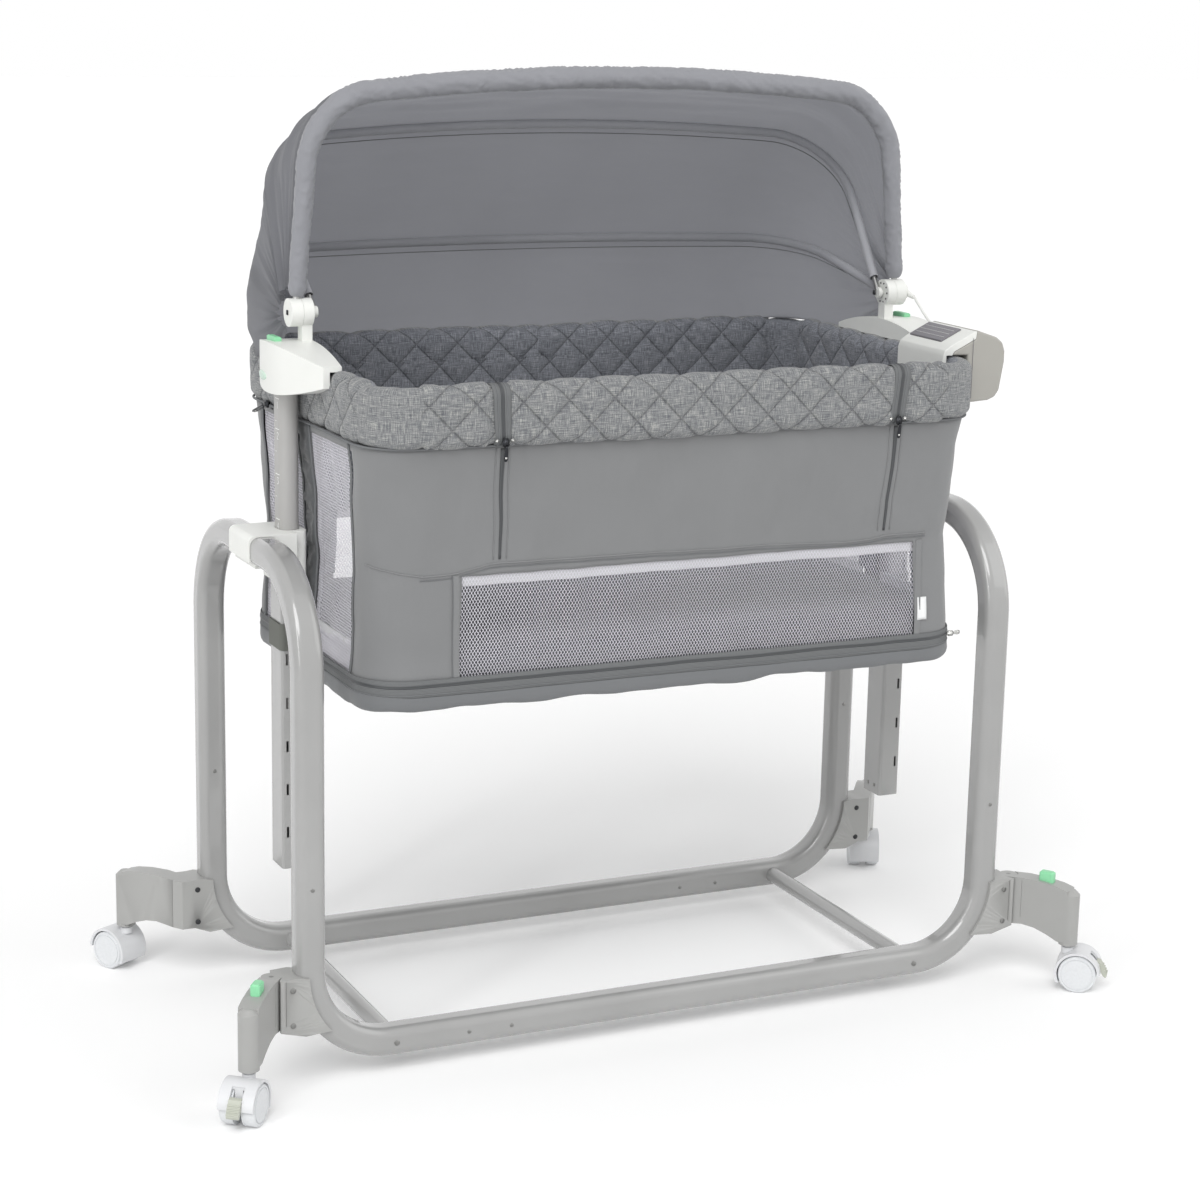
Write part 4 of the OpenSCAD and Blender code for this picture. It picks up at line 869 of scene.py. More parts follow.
def makeRim():
    cols = planColumns(rim["cell"])
    hw = rim["thick"] / 2
    middle, outward = planPoints(cols, rim["x"] - hw, rim["y"] - hw, cradle["corner"] - hw)
    length = planLength(cols)
    sec, secNor, run = rimSection()
    midZ = (rim["high"] + rim["low"]) / 2
    rows, outs = [], []
    for (dx, dz), (nx, nz) in zip(sec, secNor):
        rows.append(np.concatenate([middle + outward * dx, np.full((len(middle), 1), midZ + dz)], 1))
        outs.append(np.concatenate([outward * nx, np.full((len(middle), 1), nz)], 1))
    rows, outs = np.array(rows) / 1000, np.array(outs)
    rise = quilting["rimRise"]
    quilted = quilt(length[None, :-1], run[:, None], rise)
    pad = quilted * (0.18 + 0.82 * plainCorners(cols))[None]
    for seam in rimSeams["x"]:
        gap = abs(rows[..., 0] * 1000 - seam)
        dip = rimSeams["depth"] * np.clip(1 - gap / rimSeams["half"], 0, 1)
        pad = pad - np.where(rows[..., 1] < rim["frontY"] / 1000, dip, 0)
    # small puckers, strongest along the stitched lines
    pucker = ripple(rows, 70.0, 1.7, 2) * rim["pucker"] * (0.4 + 0.6 * (quilted < rise * 0.8))
    raised = (pad + pucker) * clearOfZips(rows) + rimSway(rows) - rim["sink"]
    rows = rows + outs * (raised / 1000)[..., None]
    rows = np.concatenate([rows, rows[:1]])
    piece = addSheet("rimPad", rows, "rim_cloth", around=True, along=length / 1000,
                     across=np.append(run, run[-1] + run[1]) / 1000)
    markQuilted(piece, (plainCorners(cols) > 0.5) * 1.0, len(rows))
    # its inner face is of the lining's darker cloth
    piece.data.materials.append(finishes["heather_cloth"])
    facesIn = (np.append(sec[1:, 0], sec[0, 0]) + sec[:, 0]) / 2 < -3
    piece.data.polygons.foreach_set("material_index", np.repeat(facesIn, len(cols)).astype(int))
    weld(piece)
    settle(piece, "cradle")
    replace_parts(piece, "padded_rim")
    wallRing("rimPiping", rim["low"] + 0.5, 3.0, 3.0, "bindingCloth", out=3.0, power=2.0)


# Zip tape over the front of the rim with its ridges and coil
def makeTape(side, top, low):
    sec, secNor, run = rimSection()
    first, last = zips["tapeRun"]
    covered = np.flatnonzero((run > first) & (run < last))
    sec, secNor = sec[covered], secNor[covered]
    height = rim["high"] - rim["low"]
    share = np.clip((sec[:, 1] + height / 2) / height, 0, 1)
    x = low + (top - low) * share
    front = -(rim["y"] - rim["thick"] / 2) - sec[:, 0]
    points = np.stack([x, front, (rim["high"] + rim["low"]) / 2 + sec[:, 1]], 1) / 1000
    normals = np.stack([0 * x, -secNor[:, 0], secNor[:, 1]], 1)
    points = points + normals * ((rimSway(points) - 0.7) / 1000)[:, None]
    raised = points + normals * 0.0008
    width = zips["width"] * (0.84 + 0.16 * share)
    tape = ringSection(1, 1.4, 12, 4.0)[None] * np.stack([width, 0 * width + 1], 1)[:, None] / 1000
    settle(sweep(side + "ZipTape", points, normals, tape, "zipTape", caps=True))
    for n, aside in enumerate((-0.27, 0.27)):
        ridge = raised + np.stack([aside * width / 1000, 0 * x, 0 * x], 1)
        section = ringSection(1.4, 0.8, 8) / 1000
        settle(sweep(side + "TapeRidge" + str(n), ridge, normals, section, "bindingCloth", caps=True))
    coil = ringSection(4.5, 1.6, 10) / 1000
    settle(sweep(side + "ZipCoil", raised, normals, coil, "zipTeeth", caps=True))


# The zip line down the wall below a tape, with the stitching of its flap
def makeZipLine(side, top, low):
    z0, z1 = zips["seamZ"]
    path = [(top, z0), (top + 0.6, 0.6 * z0 + 0.4 * z1), (low - 0.6, 0.3 * z0 + 0.7 * z1), (low, z1)]
    wallStrip(side + "WallZip", "front", path, 5.6, 1.2, "zipTeeth", 0.3, taper=(1.0, 0.55))
    for n, s in enumerate((-1, 1)):
        beside = [(u + s * zips["flap"], z) for u, z in path]
        wallStrip(side + "FlapStitch" + str(n), "front", beside, 1.0, 0.5, "wallCloth", 0.3)


# The stops at the low end of a tape, the slider and its tab
def makePull(side, low):
    for n, s in enumerate((-1, 1)):
        stop = (low + s * 0.42 * zips["width"], *zips["stop"])
        addKnob(side + "ZipStop" + str(n), stop, (4.2, 3.6, 4.2), "nickel")
    addKnob(side + "ZipSlider", (low + 1, *zips["slider"]), (8, 5, 11), "darkPull")
    addTab(side + "ZipTab", (low + 1, *zips["tabTop"]), (low + 0.5, *zips["tabEnd"]), 5.2, "darkPull")


def makeZips():
    for k, side in enumerate(("left", "right")):
        makeTape(side, zips["top"][k], zips["low"][k])
        makeZipLine(side, zips["seam"][k], zips["seamEnd"][k])
        makePull(side, zips["low"][k])


# The zipped hem that joins the walls to the base
hem = {"wave": 0.8, "bandZ": 482.5, "zipZ": 485.5, "stitchZ": 475.5}


def makeHem():
    wallRing("hemBand", hem["bandZ"], 21, 1.6, "zipTape", 0.6, wave=hem["wave"])
    wallRing("hemZip", hem["zipZ"], 4.2, 1.8, "zipTeeth", 1.2, wave=hem["wave"])
    wallRing("hemStitch", hem["stitchZ"], 1.0, 1.0, "bindingCloth", 1.4, wave=hem["wave"])


# The seam over the front window as (along, z); from its left end it climbs round the corner
windowSeam = [
    (-341, 616), (-320, 615.5), (-294, 616), (-274, 620), (-254, 625), (-200, 625.5),
    (100, 622), (216, 618.5), (262, 619.5), (284, 623), (341, 623),
]


def makeSeams():
    wallStrip("windowSeam", "front", windowSeam, 2.0, 1.2, "wallCloth", 0.3, power=2.0)
    below = [(u, z - 4.5) for u, z in windowSeam]
    wallStrip("windowStitch", "front", below, 0.9, 0.9, "bindingCloth", 0.4)
    turns, heights = np.linspace(0.25, 1, 18), np.linspace(628, windowSeam[0][1], 18)
    corner = [wallAt([(3, f)], z, 0.3) for f, z in zip(turns, heights)]
    points, normals = (np.concatenate(part) for part in zip(*corner))
    points = points + normals * sway(points)[:, None]
    settle(sweep("cornerSeam", points, normals, ringSection(2.0, 1.2, 10) / 1000, "wallCloth", caps=True))
    wallStrip("rearSeam", "rear", [(-341, 622), (341, 622)], 2.4, 2.0, "wallCloth", 0.8, power=2.0)


# Folded edges of the long windows, with the pale lining strip behind their tops
def makeWindowEdges():
    (left, right), (low, high) = cradle["windowX"], cradle["windowZ"]
    for side in ("front", "rear"):
        for name, x, width, thick, finish, out in (
                ("LeftEdge", left - 5, 9, 1.2, "wallCloth", 0.6),
                ("LeftEdgeStitch", left - 9, 0.8, 0.8, "bindingCloth", 1.0),
                ("RightEdge", right + 5, 9, 1.2, "wallCloth", 0.6)):
            wallStrip(side + name, side, [(x, low - 4), (x, high + 2)], width, thick, finish, out)
        top = [(left + 1, high - 6), (right - 1, high - 6)]
        wallStrip(side + "TopLining", side, top, 13, 0.6, "paleLining", -3.4)


# The gathered band of cloth behind each post
band = {"half": 19, "columns": 13, "rows": 90, "fold": 4.2, "raised": 2.2}


def makeBand(end):
    low, high = cradle["panelZ"]
    u = np.linspace(-band["half"], band["half"], band["columns"])
    grid, normals = onWall(end, *np.meshgrid(u, np.linspace(low - 4, high + 8, band["rows"])))
    upright = np.stack([grid[..., 0] * 0, grid[..., 1] * 0.4, grid[..., 2]], -1)
    fold = ripple(upright, 62.0, 4.0, 3) * band["fold"] + band["raised"]
    edge = np.clip((band["half"] - abs(u)) / 5, 0, 1) ** 0.5
    grid = grid + normals * ((fold * edge[None] - 0.2) / 1000)[..., None]
    piece = addSheet(end + "Band", grid, "darkBand", flip=end == "left")
    settle(piece)


# Bindings, doubled net edges and low lining of the two net panels in each end, and the band between them
def makeEnds():
    y, (low, high) = cradle["panelY"], cradle["panelZ"]
    for end in ("left", "right"):
        for s, part in ((-1, "Front"), (1, "Rear")):
            tapes = (("Binding", y + 2.5, 6, 1.6, 0.7), ("Inner", 21, 5, 2.2, 1.0))
            for name, at, width, thick, out in tapes:
                upright = [(s * at, low - 6), (s * at, high + 8)]
                wallStrip(end + part + name, end, upright, width, thick, "bindingCloth", out)
            wallStrip(end + part + "Double", end, [(s * 29, low), (s * 29, high)], 13, 0.5, "doubleNet", -2.2)
            along = [(s * 24, low + 19), (s * (y - 2), low + 19)]
            wallStrip(end + part + "LowLining", end, along, 40, 0.6, "paleLining", -3.6)
        makeBand(end)


# A blank satin label sewn to the front wall, its right edge curling off it
label = {"x": (332.5, 345.5), "z": (511, 540), "raised": 1.3, "curl": 1.2, "thick": 0.3}


def makeLabel():
    places = np.meshgrid(np.linspace(*label["x"], 5), np.linspace(*label["z"], 8))
    points, _ = onWall("front", *places, label["raised"])
    points[:, -1, 1] -= label["curl"] / 1000
    piece = addSheet("blankLabel", points, "label")
    solidify(piece, label["thick"] / 1000, 0)
    settle(piece)


# The pull of the hem's zip, and the opening at the rear of the left end with its own
def makePulls():
    addTab("hemZipTab", (396.5, -211.5, 486), (409, -206.5, 484.5), 6, "nickel")
    addKnob("hemZipSlider", (391, -213.5, 486), (10, 6, 7), "nickel")
    # A dark strip of painted shade in the opening
    wallStrip("leftOpening", "left", [(119, 792), (118, 764)], 9, 1.5, "hole", 1.5)
    addTab("leftZipTab", (-411.5, 131, 768), (-414, 168, 754), 7.5, "darkPull")
    addKnob("leftZipSlider", (-410.5, 126, 770), (6, 13, 9), "darkPull")


# Rows of a soft pad from its profile of (height, outward), for a plan of that half size and corner
def padRows(cols, profile, hx, hy, corner, least):
    rows = []
    for z, out in profile:
        ring, _ = ringAt(*planPoints(cols, hx + out, hy + out, max(corner + out, least)), z)
        rows.append(ring)
    return np.array(rows)


# The soft base: profile of (height, outward) from the middle of its underside up to the hem. Its waves and
# wrinkles fade out over the last millimetres below the top
base = {
    "halfX": 405.5, "halfY": 226.5, "cell": 6.0,
    "wave": 5.2, "down": 0.6, "wrinkle": 3.0, "top": 476, "fade": 20,
    "profile": ((456.5, -60), (455.5, -30), (454.5, -14), (454.3, -7), (455.5, -2.6), (459, -0.4),
                (464, 0.4), (474, -0.4), (478, -2)),
}


def makeBase():
    cols = planColumns(base["cell"])
    rows = padRows(cols, base["profile"], base["halfX"], base["halfY"], cradle["corner"], 5)
    share = np.clip((base["top"] - rows[..., 2] * 1000) / base["fade"], 0, 1)
    rows[:, :, 2] += (ripple(rows * (1, 1, 0), 9.0, 2.0, 3) * base["wave"] - base["down"]) / 1000 * share
    wrinkle = ripple(rows, 26.0, 6.5, 3) * base["wrinkle"] / 1000 * share * (1 - share * 0.5)
    rows = rows + unitOf(rows * (1, 1, 0)) * wrinkle[..., None]
    piece = addSheet("baseCloth", rows, "base_cloth", around=True, along=planLength(cols) / 1000, ends=True)
    settle(piece)
    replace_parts(piece, "base_tray")


# The mattress: profile of (height, outward) round its edge, laid that much lower
mattress = {
    "halfX": 391, "halfY": 217, "corner": 55, "cell": 9.0, "sunk": 4, "soft": 1.6,
    "profile": ((481.5, -60), (481, -20), (481.3, -8), (484, -2.4), (490, -0.6), (502, 0), (514, -0.8),
                (521, -3.5), (525.5, -10), (528, -24), (529.5, -60), (530.5, -110), (531, -160)),
}


def makeMattress():
    cols = planColumns(mattress["cell"])
    rows = padRows(cols, mattress["profile"], mattress["halfX"], mattress["halfY"], mattress["corner"], 6)
    rows[:, :, 2] -= mattress["sunk"] / 1000
    rows[:, :, 2] += ripple(rows, 11.0, 6.0, 3) * mattress["soft"] / 1000
    along = planLength(cols) / 1000
    piece = addSheet("mattressPad", rows, "mattress_cloth", around=True, along=along, ends=True)
    settle(piece, "cradle")
    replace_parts(piece, "mattress")


# The canopy in millimetres and degrees: the outline of its hoops above the hinge line, the angles of the
# hoops and the hem behind the front hoop, and how far the cloth is lifted off the outline at each.
# tuck and puff shape the cloth's front edge, and the creases are calm that near to a hoop
canopy = {
    "hubZ": 899, "hoopW": 415, "hoopH": 277, "corner": 95, "lean": 4.8, "crownR": 3000,
    "firstAngle": 0.5, "midAngle": 42, "rearAngle": 79, "hemAngle": 113, "columns": 170, "lowest": 30,
    "frontLift": 11.0, "midLift": 12.8, "rearLift": 10.5, "hemLift": 6.5, "tuck": 3.5, "puff": 0.8,
    "sag": 8, "hemBulge": 14, "hemDroop": 24, "crease": 3.6, "gather": 11, "gatherHeight": 190, "calm": 7,
    "crownReach": 290, "arcRadius": 260,
}


# Middle of the corner arcs, height of the middle of the crown's wide arc, and the angle at which they meet:
# a corner arc touches both its leg, which leans in, and the crown
def hoopCentre():
    lean = math.radians(canopy["lean"])
    t = math.tan(lean)
    drop = canopy["hoopH"] - canopy["crownR"]
    inner = canopy["hoopW"] - canopy["corner"] / math.cos(lean)
    reach = canopy["crownR"] - canopy["corner"]
    mixed = drop + inner * t
    root = math.sqrt(mixed ** 2 - (1 + t * t) * (drop ** 2 + inner ** 2 - reach ** 2))
    cz = (mixed + root) / (1 + t * t)
    cx = inner - t * cz
    return cx, cz, drop, math.atan2(cz - drop, cx)


# Outline of a hoop from the left hub over the crown to the right, moved out by off and cut at a lowest
# height: (x, height above the hinge line), outward normals and length. Its legs aim at w on the hinge line
def hoopOutline(off, low, count, w=None):
    cx, cz, drop, crownStart = hoopCentre()
    r = canopy["corner"] + off
    if w is None:
        lean = math.radians(canopy["lean"])
    else:
        lean = math.atan2(w - cx, cz) - math.asin(r / math.hypot(w - cx, cz))
    foot = np.array([cx + r * math.cos(lean), cz + r * math.sin(lean)])
    down = np.array([math.sin(lean), -math.cos(lean)])
    legLength = (foot[1] - low) / math.cos(lean)
    points = [foot + down * legLength * k for k in np.linspace(1, 0, 30)[:-1]]
    turns = np.linspace(lean, crownStart, 30)[:-1]
    points += [(cx + r * math.cos(a), cz + r * math.sin(a)) for a in turns]
    wide, turns = canopy["crownR"] + off, np.linspace(crownStart, math.pi / 2, 40)
    points += [(wide * math.cos(a), drop + wide * math.sin(a)) for a in turns]
    right = np.array(points)
    line = np.concatenate([right * (-1, 1), right[::-1][1:]])
    run = runOf(line)
    at = np.linspace(0, run[-1], count)
    out = np.stack([np.interp(at, run, line[:, k]) for k in (0, 1)], 1)
    t = unitOf(np.gradient(out, axis=0))
    return out, np.stack([-t[:, 1], t[:, 0]], 1), at


# Outline points (x, height) turned back by an angle from the front hoop about the hinge line, in metres
def turned(line, angle):
    a = np.radians(angle)
    return np.stack([line[:, 0], line[:, 1] * np.sin(a), canopy["hubZ"] + line[:, 1] * np.cos(a)], 1) / 1000


# Outward normals of the outline, turned back in the same way
def turnedNormal(normals, angle):
    return unitOf(turned(normals * 1000, angle) - (0, 0, canopy["hubZ"] / 1000))


# Cloth over the outline at each angle: lift over the hoops, hollowed between them by sag at the crown,
# creased along the span and gathered into folds that run out from the hubs. bulge fills the flanks and droop
# turns the low ends further back
def canopySheet(angles, lift, sag, bulge, droop):
    outline, nor, run = hoopOutline(0, canopy["lowest"], canopy["columns"])
    height = np.clip(outline[:, 1] / canopy["hoopH"], 0, 1)
    flank = np.sin(math.pi * np.clip(height * 1.15, 0, 1))
    seed = 27.0  # the same in the front and rear cloth, so that their creases meet
    rows, outs = [], []
    for a, up, s, b, d in zip(angles, lift, sag, bulge, droop):
        a = a + d * (1 - height)
        line = outline + nor * (up - s * height ** 0.5 + b * flank)[:, None]
        rows.append(turned(line, a))
        outs.append(turnedNormal(nor, a))
    rows, outs = np.array(rows), np.array(outs)
    spread = np.stack(np.broadcast_arrays(angles[:, None] / 9.0, run[None] / 200.0, seed), -1)
    crease = ripple(spread, 1.0, 0.0, 3)
    folds = [noise.noise(Vector((a / 3.0, 0.3 * end, seed))) for a in angles for end in (-1, 1)]
    folds = np.array(folds).reshape(len(angles), 2)
    near = np.clip(1 - outline[:, 1] / canopy["gatherHeight"], 0, 1)
    gather = np.where(outline[None, :, 0] < 0, folds[:, :1], folds[:, 1:])
    gather = gather * near[None] * np.clip(angles / 16, 0, 1)[:, None]
    hoops = np.array([0, canopy["midAngle"], canopy["rearAngle"]])
    fromHoop = abs(angles[:, None] - hoops).min(1)
    calm = np.clip(fromHoop / canopy["calm"], 0.1, 1)[:, None]
    crease, gather = crease * calm, gather * np.maximum(calm, 0.5)
    raised = crease * canopy["crease"] + gather * canopy["gather"]
    return rows + outs * (raised / 1000)[..., None], run


# A sheet of the canopy, its length measured along the hoops and its width along an arc of that radius
def addCanopy(name, angles, rows, run):
    across = np.radians(angles) * canopy["arcRadius"] / 1000
    return addSheet(name, rows, "canopy_cloth", along=run / 1000, across=across)


# The rim's rounded top edge in millimetres, which the rear cloth's hem lies over and hangs a little outside
hemRest = {"x": 348, "y": 192, "flat": 46.5, "round": 13.5, "z": 826}


def makeCanopy():
    mid, rear, hemAngle = canopy["midAngle"], canopy["rearAngle"], canopy["hemAngle"]
    angles = np.linspace(canopy["firstAngle"], mid, 48)
    t = (angles - angles[0]) / (angles[-1] - angles[0])
    edge = canopy["frontLift"]
    lifts = [edge - canopy["tuck"], edge + canopy["puff"], canopy["midLift"]]
    lift = np.interp(t, [0, 0.1, 1], lifts)
    rows, run = canopySheet(angles, lift, canopy["sag"] * np.sin(math.pi * t), 0 * t, 0 * t)
    front = addCanopy("canopyFront", angles, rows, run)
    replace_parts(front, "front_canopy")
    angles = np.concatenate([np.linspace(mid, rear, 44)[:-1], np.linspace(rear, hemAngle, 34)])
    upper = np.clip((angles - mid) / (rear - mid), 0, 1)
    lower = np.clip((angles - rear) / (hemAngle - rear), 0, 1)
    lifts = [canopy["midLift"], canopy["rearLift"], canopy["hemLift"]]
    lift = np.interp(angles, [mid, rear, hemAngle], lifts)
    sag = canopy["sag"] * np.sin(math.pi * upper)
    bulge = canopy["hemBulge"] * np.sin(math.pi * np.clip(lower * 1.05, 0, 1))
    rows, run = canopySheet(angles, lift, sag, bulge, canopy["hemDroop"] * lower)
    beyond = [np.maximum(abs(rows[..., 0]) - hemRest["x"] / 1000, 0),
              np.maximum(rows[..., 1] - hemRest["y"] / 1000, 0)]
    past = np.maximum(np.hypot(*beyond) - hemRest["flat"] / 1000, 0)
    fall = np.sqrt(np.maximum((hemRest["round"] / 1000) ** 2 - past ** 2, 0))
    rows[..., 2] = np.maximum(rows[..., 2], hemRest["z"] / 1000 + fall)
    back = addCanopy("canopyRear", angles, rows, run)
    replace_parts(back, "rear_canopy", "canopy_skirt")
    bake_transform(front)
    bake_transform(back)


# The cloth channels of the mid and rear hoop rods: how far they lie outside the outline, and where their legs
# aim on the hinge line
channel = {
    "midOff": 5.5, "midFoot": 390, "rearOff": 1.9, "rearFoot": 402.5,
    "width": 12, "height": 11, "lowest": 24, "stitch": 1.2, "stitchLowest": 30, "stitchAngle": 2.6,
}


# Cloth channel that covers a hoop rod, made paler than the canopy cloth as painted light, and the stitched
# line that closes it
def makeChannel(hoop, body):
    name, angle = hoop + "Channel", canopy[hoop + "Angle"]
    off, foot = channel[hoop + "Off"], channel[hoop + "Foot"]
    outline, nor, run = hoopOutline(off, channel["lowest"], 180, foot)
    wobble = 1 + 0.08 * np.array([noise.noise(Vector((r / 14, 0, angle))) for r in run])
    section = ringSection(channel["width"], channel["height"], 14)[None] * wobble[:, None, None] / 1000
    tube = sweep(name, turned(outline, angle), turnedNormal(nor, angle), section, "channelLitCloth")
    settle(tube, body)
    inner, innerNor, _ = hoopOutline(off - channel["height"] / 2 + 1, channel["stitchLowest"], 120, foot)
    behind = angle + channel["stitchAngle"]
    thread = ringSection(channel["stitch"], channel["stitch"], 8) / 1000
    points, outward = turned(inner, behind), turnedNormal(innerNor, behind)
    settle(sweep(name + "Stitch", points, outward, thread, "bindingCloth"), body)


# The padded sleeve round the front hoop, gathered so that it puckers every 15 mm, with broader lumps between
sleeve = {
    "girth": 24, "count": 700, "lowest": 19, "pucker": 0.12, "puckerPitch": 15, "lump": 0.09, "lumpPitch": 46,
}


def makeSleeve():
    outline, nor, run = hoopOutline(0, sleeve["lowest"], sleeve["count"])
    ring = ringSection(1, 1.06, 28)
    puckers = np.zeros((len(run), len(ring)))
    for j, a in enumerate(np.arctan2(ring[:, 1], ring[:, 0])):
        y, z = math.cos(a), math.sin(a)
        twist = 16 * math.sin(a * 2 + 0.5)
        for i, r in enumerate(run):
            fold = abs(noise.noise(Vector(((r + twist) / sleeve["puckerPitch"], y * 0.9, z * 0.9))))
            lump = noise.noise(Vector((r / sleeve["lumpPitch"], y, z)))
            puckers[i, j] = sleeve["pucker"] * max(0, 1 - fold * 3.0) + sleeve["lump"] * lump
    girth = sleeve["girth"] * np.interp(outline[:, 1], [0, 120, 250], [0.86, 0.9, 1.06])
    end = np.clip(np.minimum(run, run[-1] - run) / 10, 0, 1) ** 0.5
    section = ring[None] * (0.93 + puckers)[..., None] * (girth * (0.6 + 0.4 * end))[:, None, None] / 1000
    piece = sweep("hoopSleeve", turned(outline, 0), turnedNormal(nor, 0), section, "sleeveCloth", caps=True)
    settle(piece, "canopy_front")
    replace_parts(piece, "hoop_sleeve")


# Centre holes of the hubs, and the ring of rivets on the right one, drawn as dark blocks of painted shade
def makeHubs():
    addKnob("rightHubHole", (hub["rightHoleX"], 0, hub["z"]), hub["hole"], "hole", "canopy_middle")
    addKnob("leftHubHole", (hub["leftHoleX"], 0, hub["z"]), hub["hole"], "hole", "canopy_front")
    for k in range(hub["dots"]):
        a = 2 * math.pi * k / hub["dots"]
        spot = (hub["dotX"], hub["dotRing"] * math.cos(a), hub["z"] + hub["dotRing"] * math.sin(a))
        addKnob("rightHubDot" + str(k), spot, hub["dot"], "hole")


# Strokes of the plain numerals, on a grid 4 wide and 7 high
strokes = {
    "1": [(0.8, 5.6), (2, 7), (2, 0)],
    "2": [(0, 5.8), (1, 7), (3, 7), (4, 5.6), (4, 4.6), (0, 0), (4, 0)],
    "3": [(0, 7), (4, 7), (1.8, 4.2), (3.2, 3.9), (4, 2.6), (3.6, 0.8), (2, 0), (0, 0.6)],
    "4": [(3, 0), (3, 7), (0, 2.2), (4.3, 2.2)],
}
# The height marks of the left inner post, and the post's rounded front that they lie on, in millimetres
ruler = {
    "postX": -427, "half": 12.5, "flat": 6, "round": 12, "raised": 0.15, "thick": 0.3, "step": 0.8,
    "marks": {"1": 797, "2": 760, "3": 705, "4": 650},
    "tick": (-3, 9.5), "halfTick": (-3, 1.5), "halfDrop": 27.5, "digitAt": (3, -12), "digitScale": 1.15,
}


# Points and normals on the post: t runs round its front from its flat outer face
def onPost(t, z):
    t, z = np.asarray(t, float), np.asarray(z, float)
    turn = np.clip(t - ruler["flat"], 0, None) / ruler["round"]
    onFlat = t <= ruler["flat"]
    x = np.where(onFlat, -ruler["half"], ruler["round"] - ruler["half"] - ruler["round"] * np.cos(turn))
    y = np.where(onFlat, -t, -ruler["flat"] - ruler["round"] * np.sin(turn))
    out = np.stack([np.where(onFlat, -1.0, -np.cos(turn)), np.where(onFlat, 0.0, -np.sin(turn)), 0 * t], -1)
    return (np.stack([ruler["postX"] + x, y, z], -1) + out * ruler["raised"]) / 1000, out


# A printed stroke on the post along a path of (t, z)
def makePrint(name, path, width):
    path = np.asarray(path, float)
    run = runOf(path)
    at = np.linspace(0, run[-1], max(4, round(run[-1] / ruler["step"])))
    points, out = onPost(np.interp(at, run, path[:, 0]), np.interp(at, run, path[:, 1]))
    stroke = ringSection(width, ruler["thick"], 8) / 1000
    settle(sweep(name, points, out, stroke, "mark", caps=True), "cradle")


def makeRuler():
    (right, below), scale = ruler["digitAt"], ruler["digitScale"]
    for digit, z in ruler["marks"].items():
        makePrint("rulerTick" + digit, [(t, z) for t in ruler["tick"]], 1.1)
        numeral = [(right + u * scale, z + below + v * scale) for u, v in strokes[digit]]
        makePrint("rulerDigit" + digit + "0", numeral, 0.9)
        makePrint("rulerHalf" + digit, [(t, z - ruler["halfDrop"]) for t in ruler["halfTick"]], 0.7)


# The oval sight window in the left bracket's outer face, which is rounded about an upright axis at axisX
sight = {"y": 26, "z": 822, "halfY": 21, "halfZ": 5.5, "faceR": 190, "axisX": -260}


def makeSightWindow():
    turns = np.linspace(0, 2 * math.pi, 28, endpoint=False)
    rows = []
    for k, lift in ((1.0, -2), (1.0, 0.8), (0.8, 1.6), (0.3, 1.8)):
        y = sight["y"] + sight["halfY"] * k * np.cos(turns)
        x = sight["axisX"] - np.sqrt(sight["faceR"] ** 2 - y ** 2) - lift
        rows.append(np.stack([x, y, sight["z"] + sight["halfZ"] * k * np.sin(turns)], 1) / 1000)
    window = addSheet("leftSightWindow", rows, "sightGlass", around=True, ends=True)
    settle(window, "cradle")


# The soothing unit in millimetres: its parting line, and the printed lines of its sloping key panel
unit = {
    "partingX": 415.5, "partingY": -195.7, "partingZ": (786, 862),
    "panel": (401, -128, 862), "slope": 25.9, "lineHalf": 34, "lines": (0, -8, 8), "raised": 2.15,
}


def makeUnitLines():
    count = 20
    line = np.array([(unit["partingX"], unit["partingY"], z) for z in np.linspace(*unit["partingZ"], count)])
    groove = sweep("unitParting", line / 1000, np.tile((0, -1.0, 0), (count, 1)),
                   ringSection(0.6, 0.8, 8) / 1000, "panel_plastic", caps=True)
    settle(groove, "cradle")
    slope = math.radians(unit["slope"])
    along = np.array((math.cos(slope), 0, math.sin(slope)))
    up = np.array((-math.sin(slope), 0, math.cos(slope)))
    places = np.linspace(-unit["lineHalf"], unit["lineHalf"], count)
    for k, u in enumerate(unit["lines"]):
        middle = np.array(unit["panel"]) + along * u + up * unit["raised"]
        points = np.array([middle + (0, y, 0) for y in places])
        key = sweep("panelLine" + str(k), points / 1000, np.tile(up, (count, 1)),
                    ringSection(0.5, 0.3, 8) / 1000, "mark", caps=True)
        settle(key, "cradle")


# The lead from its relief on the right hub to the soothing unit, in millimetres: the solid model's own
# points, with the steps measured from the relief's tip
lead = {
    "reliefFrom": (428.6, -6, 899), "reliefTo": (431, -22, 894), "unitEnd": (430, -84.9, 862), "radius": 1.8,
    "steps": [(1, -7, -5), (2, -14, -11), (2, -22, -17), (2, -30, -22), (1, -38, -26), (1, -46, -29),
              (0, -54, -31)],
}


def makeLead():
    start, tip = np.array(lead["reliefFrom"]), np.array(lead["reliefTo"])
    along = unitOf(tip - start)
    steps = [tip + np.array(step) for step in lead["steps"]]
    path = np.array([tip + 0.1 * along, tip + 4 * along, *steps, np.array(lead["unitEnd"])]) / 1000
    curve = bpy.data.curves.new("canopyLead", "CURVE")
    curve.dimensions = "3D"
    curve.bevel_depth = lead["radius"] / 1000
    curve.bevel_resolution = 5
    curve.use_fill_caps = True
    spline = curve.splines.new("POLY")
    spline.points.add(len(path) - 1)
    for point, place in zip(spline.points, path):
        point.co = (*place, 1)
    curve.materials.append(finishes["lead_sheath"])
    cord = addObject("canopyLead", curve)
    settle(cord, "cradle")
    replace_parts(cord, "canopy_lead")


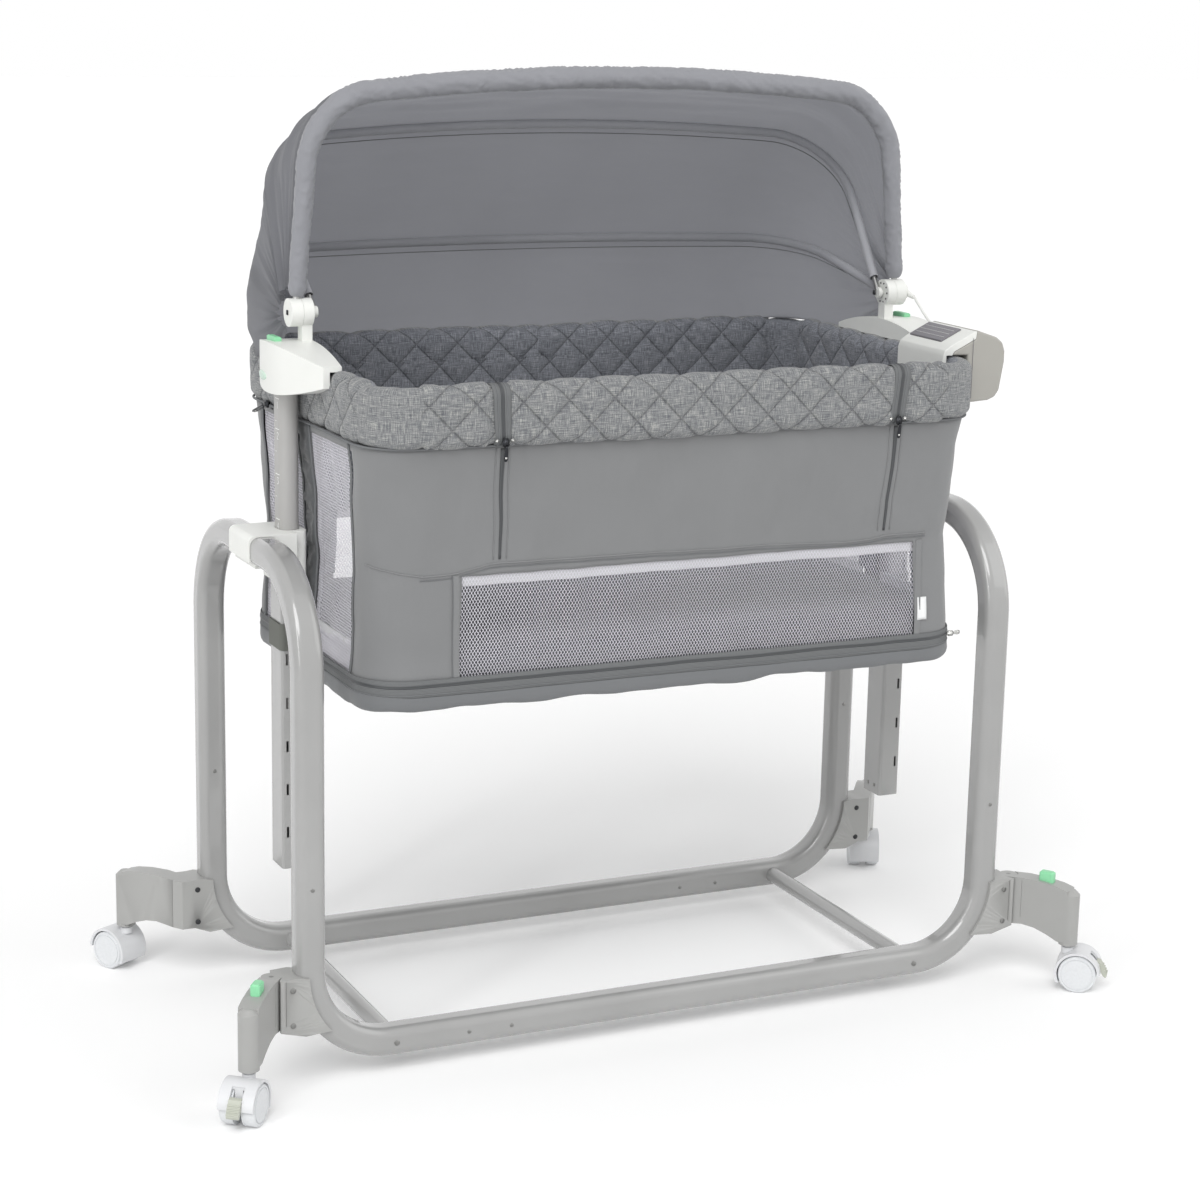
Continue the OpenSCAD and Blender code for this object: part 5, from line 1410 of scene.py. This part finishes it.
# White surroundings: full white to the camera and in reflections, weaker as a light on the object
def makeWorld():
    world = bpy.data.worlds.new("studioWorld")
    bpy.context.scene.world = world
    world.use_nodes = True
    tree = world.node_tree
    tree.nodes.clear()
    rays = addNode(tree, "ShaderNodeLightPath").outputs
    straight = {0: rays["Is Camera Ray"], 1: rays["Is Transmission Ray"]}
    seen = addNode(tree, "ShaderNodeMath", straight, operation="MAXIMUM")
    white = addNode(tree, "ShaderNodeMath", {0: seen, 1: rays["Is Glossy Ray"]}, operation="MAXIMUM")
    strength = addNode(tree, "ShaderNodeMapRange",
                       {"Value": white, "To Min": studio["worldLight"], "To Max": 1.0})
    sky = addNode(tree, "ShaderNodeBackground", {"Color": (1, 1, 1, 1), "Strength": strength})
    addNode(tree, "ShaderNodeOutputWorld", {"Surface": sky})


# A pale floor that shades off into the white surroundings
def makeFloor():
    mat, tree = startFinish("pale studio floor")
    rays = addNode(tree, "ShaderNodeLightPath").outputs
    lifted = {0: rays["Is Camera Ray"], 1: studio["floorLift"]}
    lift = addNode(tree, "ShaderNodeMath", lifted, operation="MULTIPLY")
    closeFinish(mat, {"Base Color": tone(studio["floorColour"]), "Roughness": 0.9,
                      "Emission Color": (1, 1, 1, 1), "Emission Strength": lift})
    half = studio["floorHalf"]
    mesh = bpy.data.meshes.new("floor")
    corners = [(-half, -half, 0), (half, -half, 0), (half, half, 0), (-half, half, 0)]
    mesh.from_pydata(corners, [], [(0, 1, 2, 3)])
    mesh.materials.append(mat)
    addObject("floor", mesh)


addCamera()
addSun("keyLight", studio["keyFrom"], studio["keyStrength"], studio["keyAngle"])
addSun("fillLight", studio["fillFrom"], studio["fillStrength"], studio["fillAngle"])
addStrip()
bpy.context.scene.view_settings.view_transform = "Standard"
makeWorld()
finishes = makeFinishes()
makeFloor()
print("camera, light and finishes ready")

for name, node in nodes.items():
    node.data.materials.clear()
    node.data.materials.append(finishes[slotOf[name]])
for name, width in easedNodes.items():
    easeNode(name, width)
print("rigid parts finished")
makeRim()
makeWalls()
makeLining()
makeNets()
makeZips()
makeHem()
makeSeams()
makeWindowEdges()
makeEnds()
makeLabel()
makePulls()
makeBase()
makeMattress()
print("cradle cloth finished")
makeCanopy()
makeSleeve()
makeChannel("mid", "canopy_middle")
makeChannel("rear", "cradle")
print("canopy finished")
makeHubs()
makeRuler()
makeSightWindow()
makeUnitLines()
makeLead()
print("marks and lead finished")
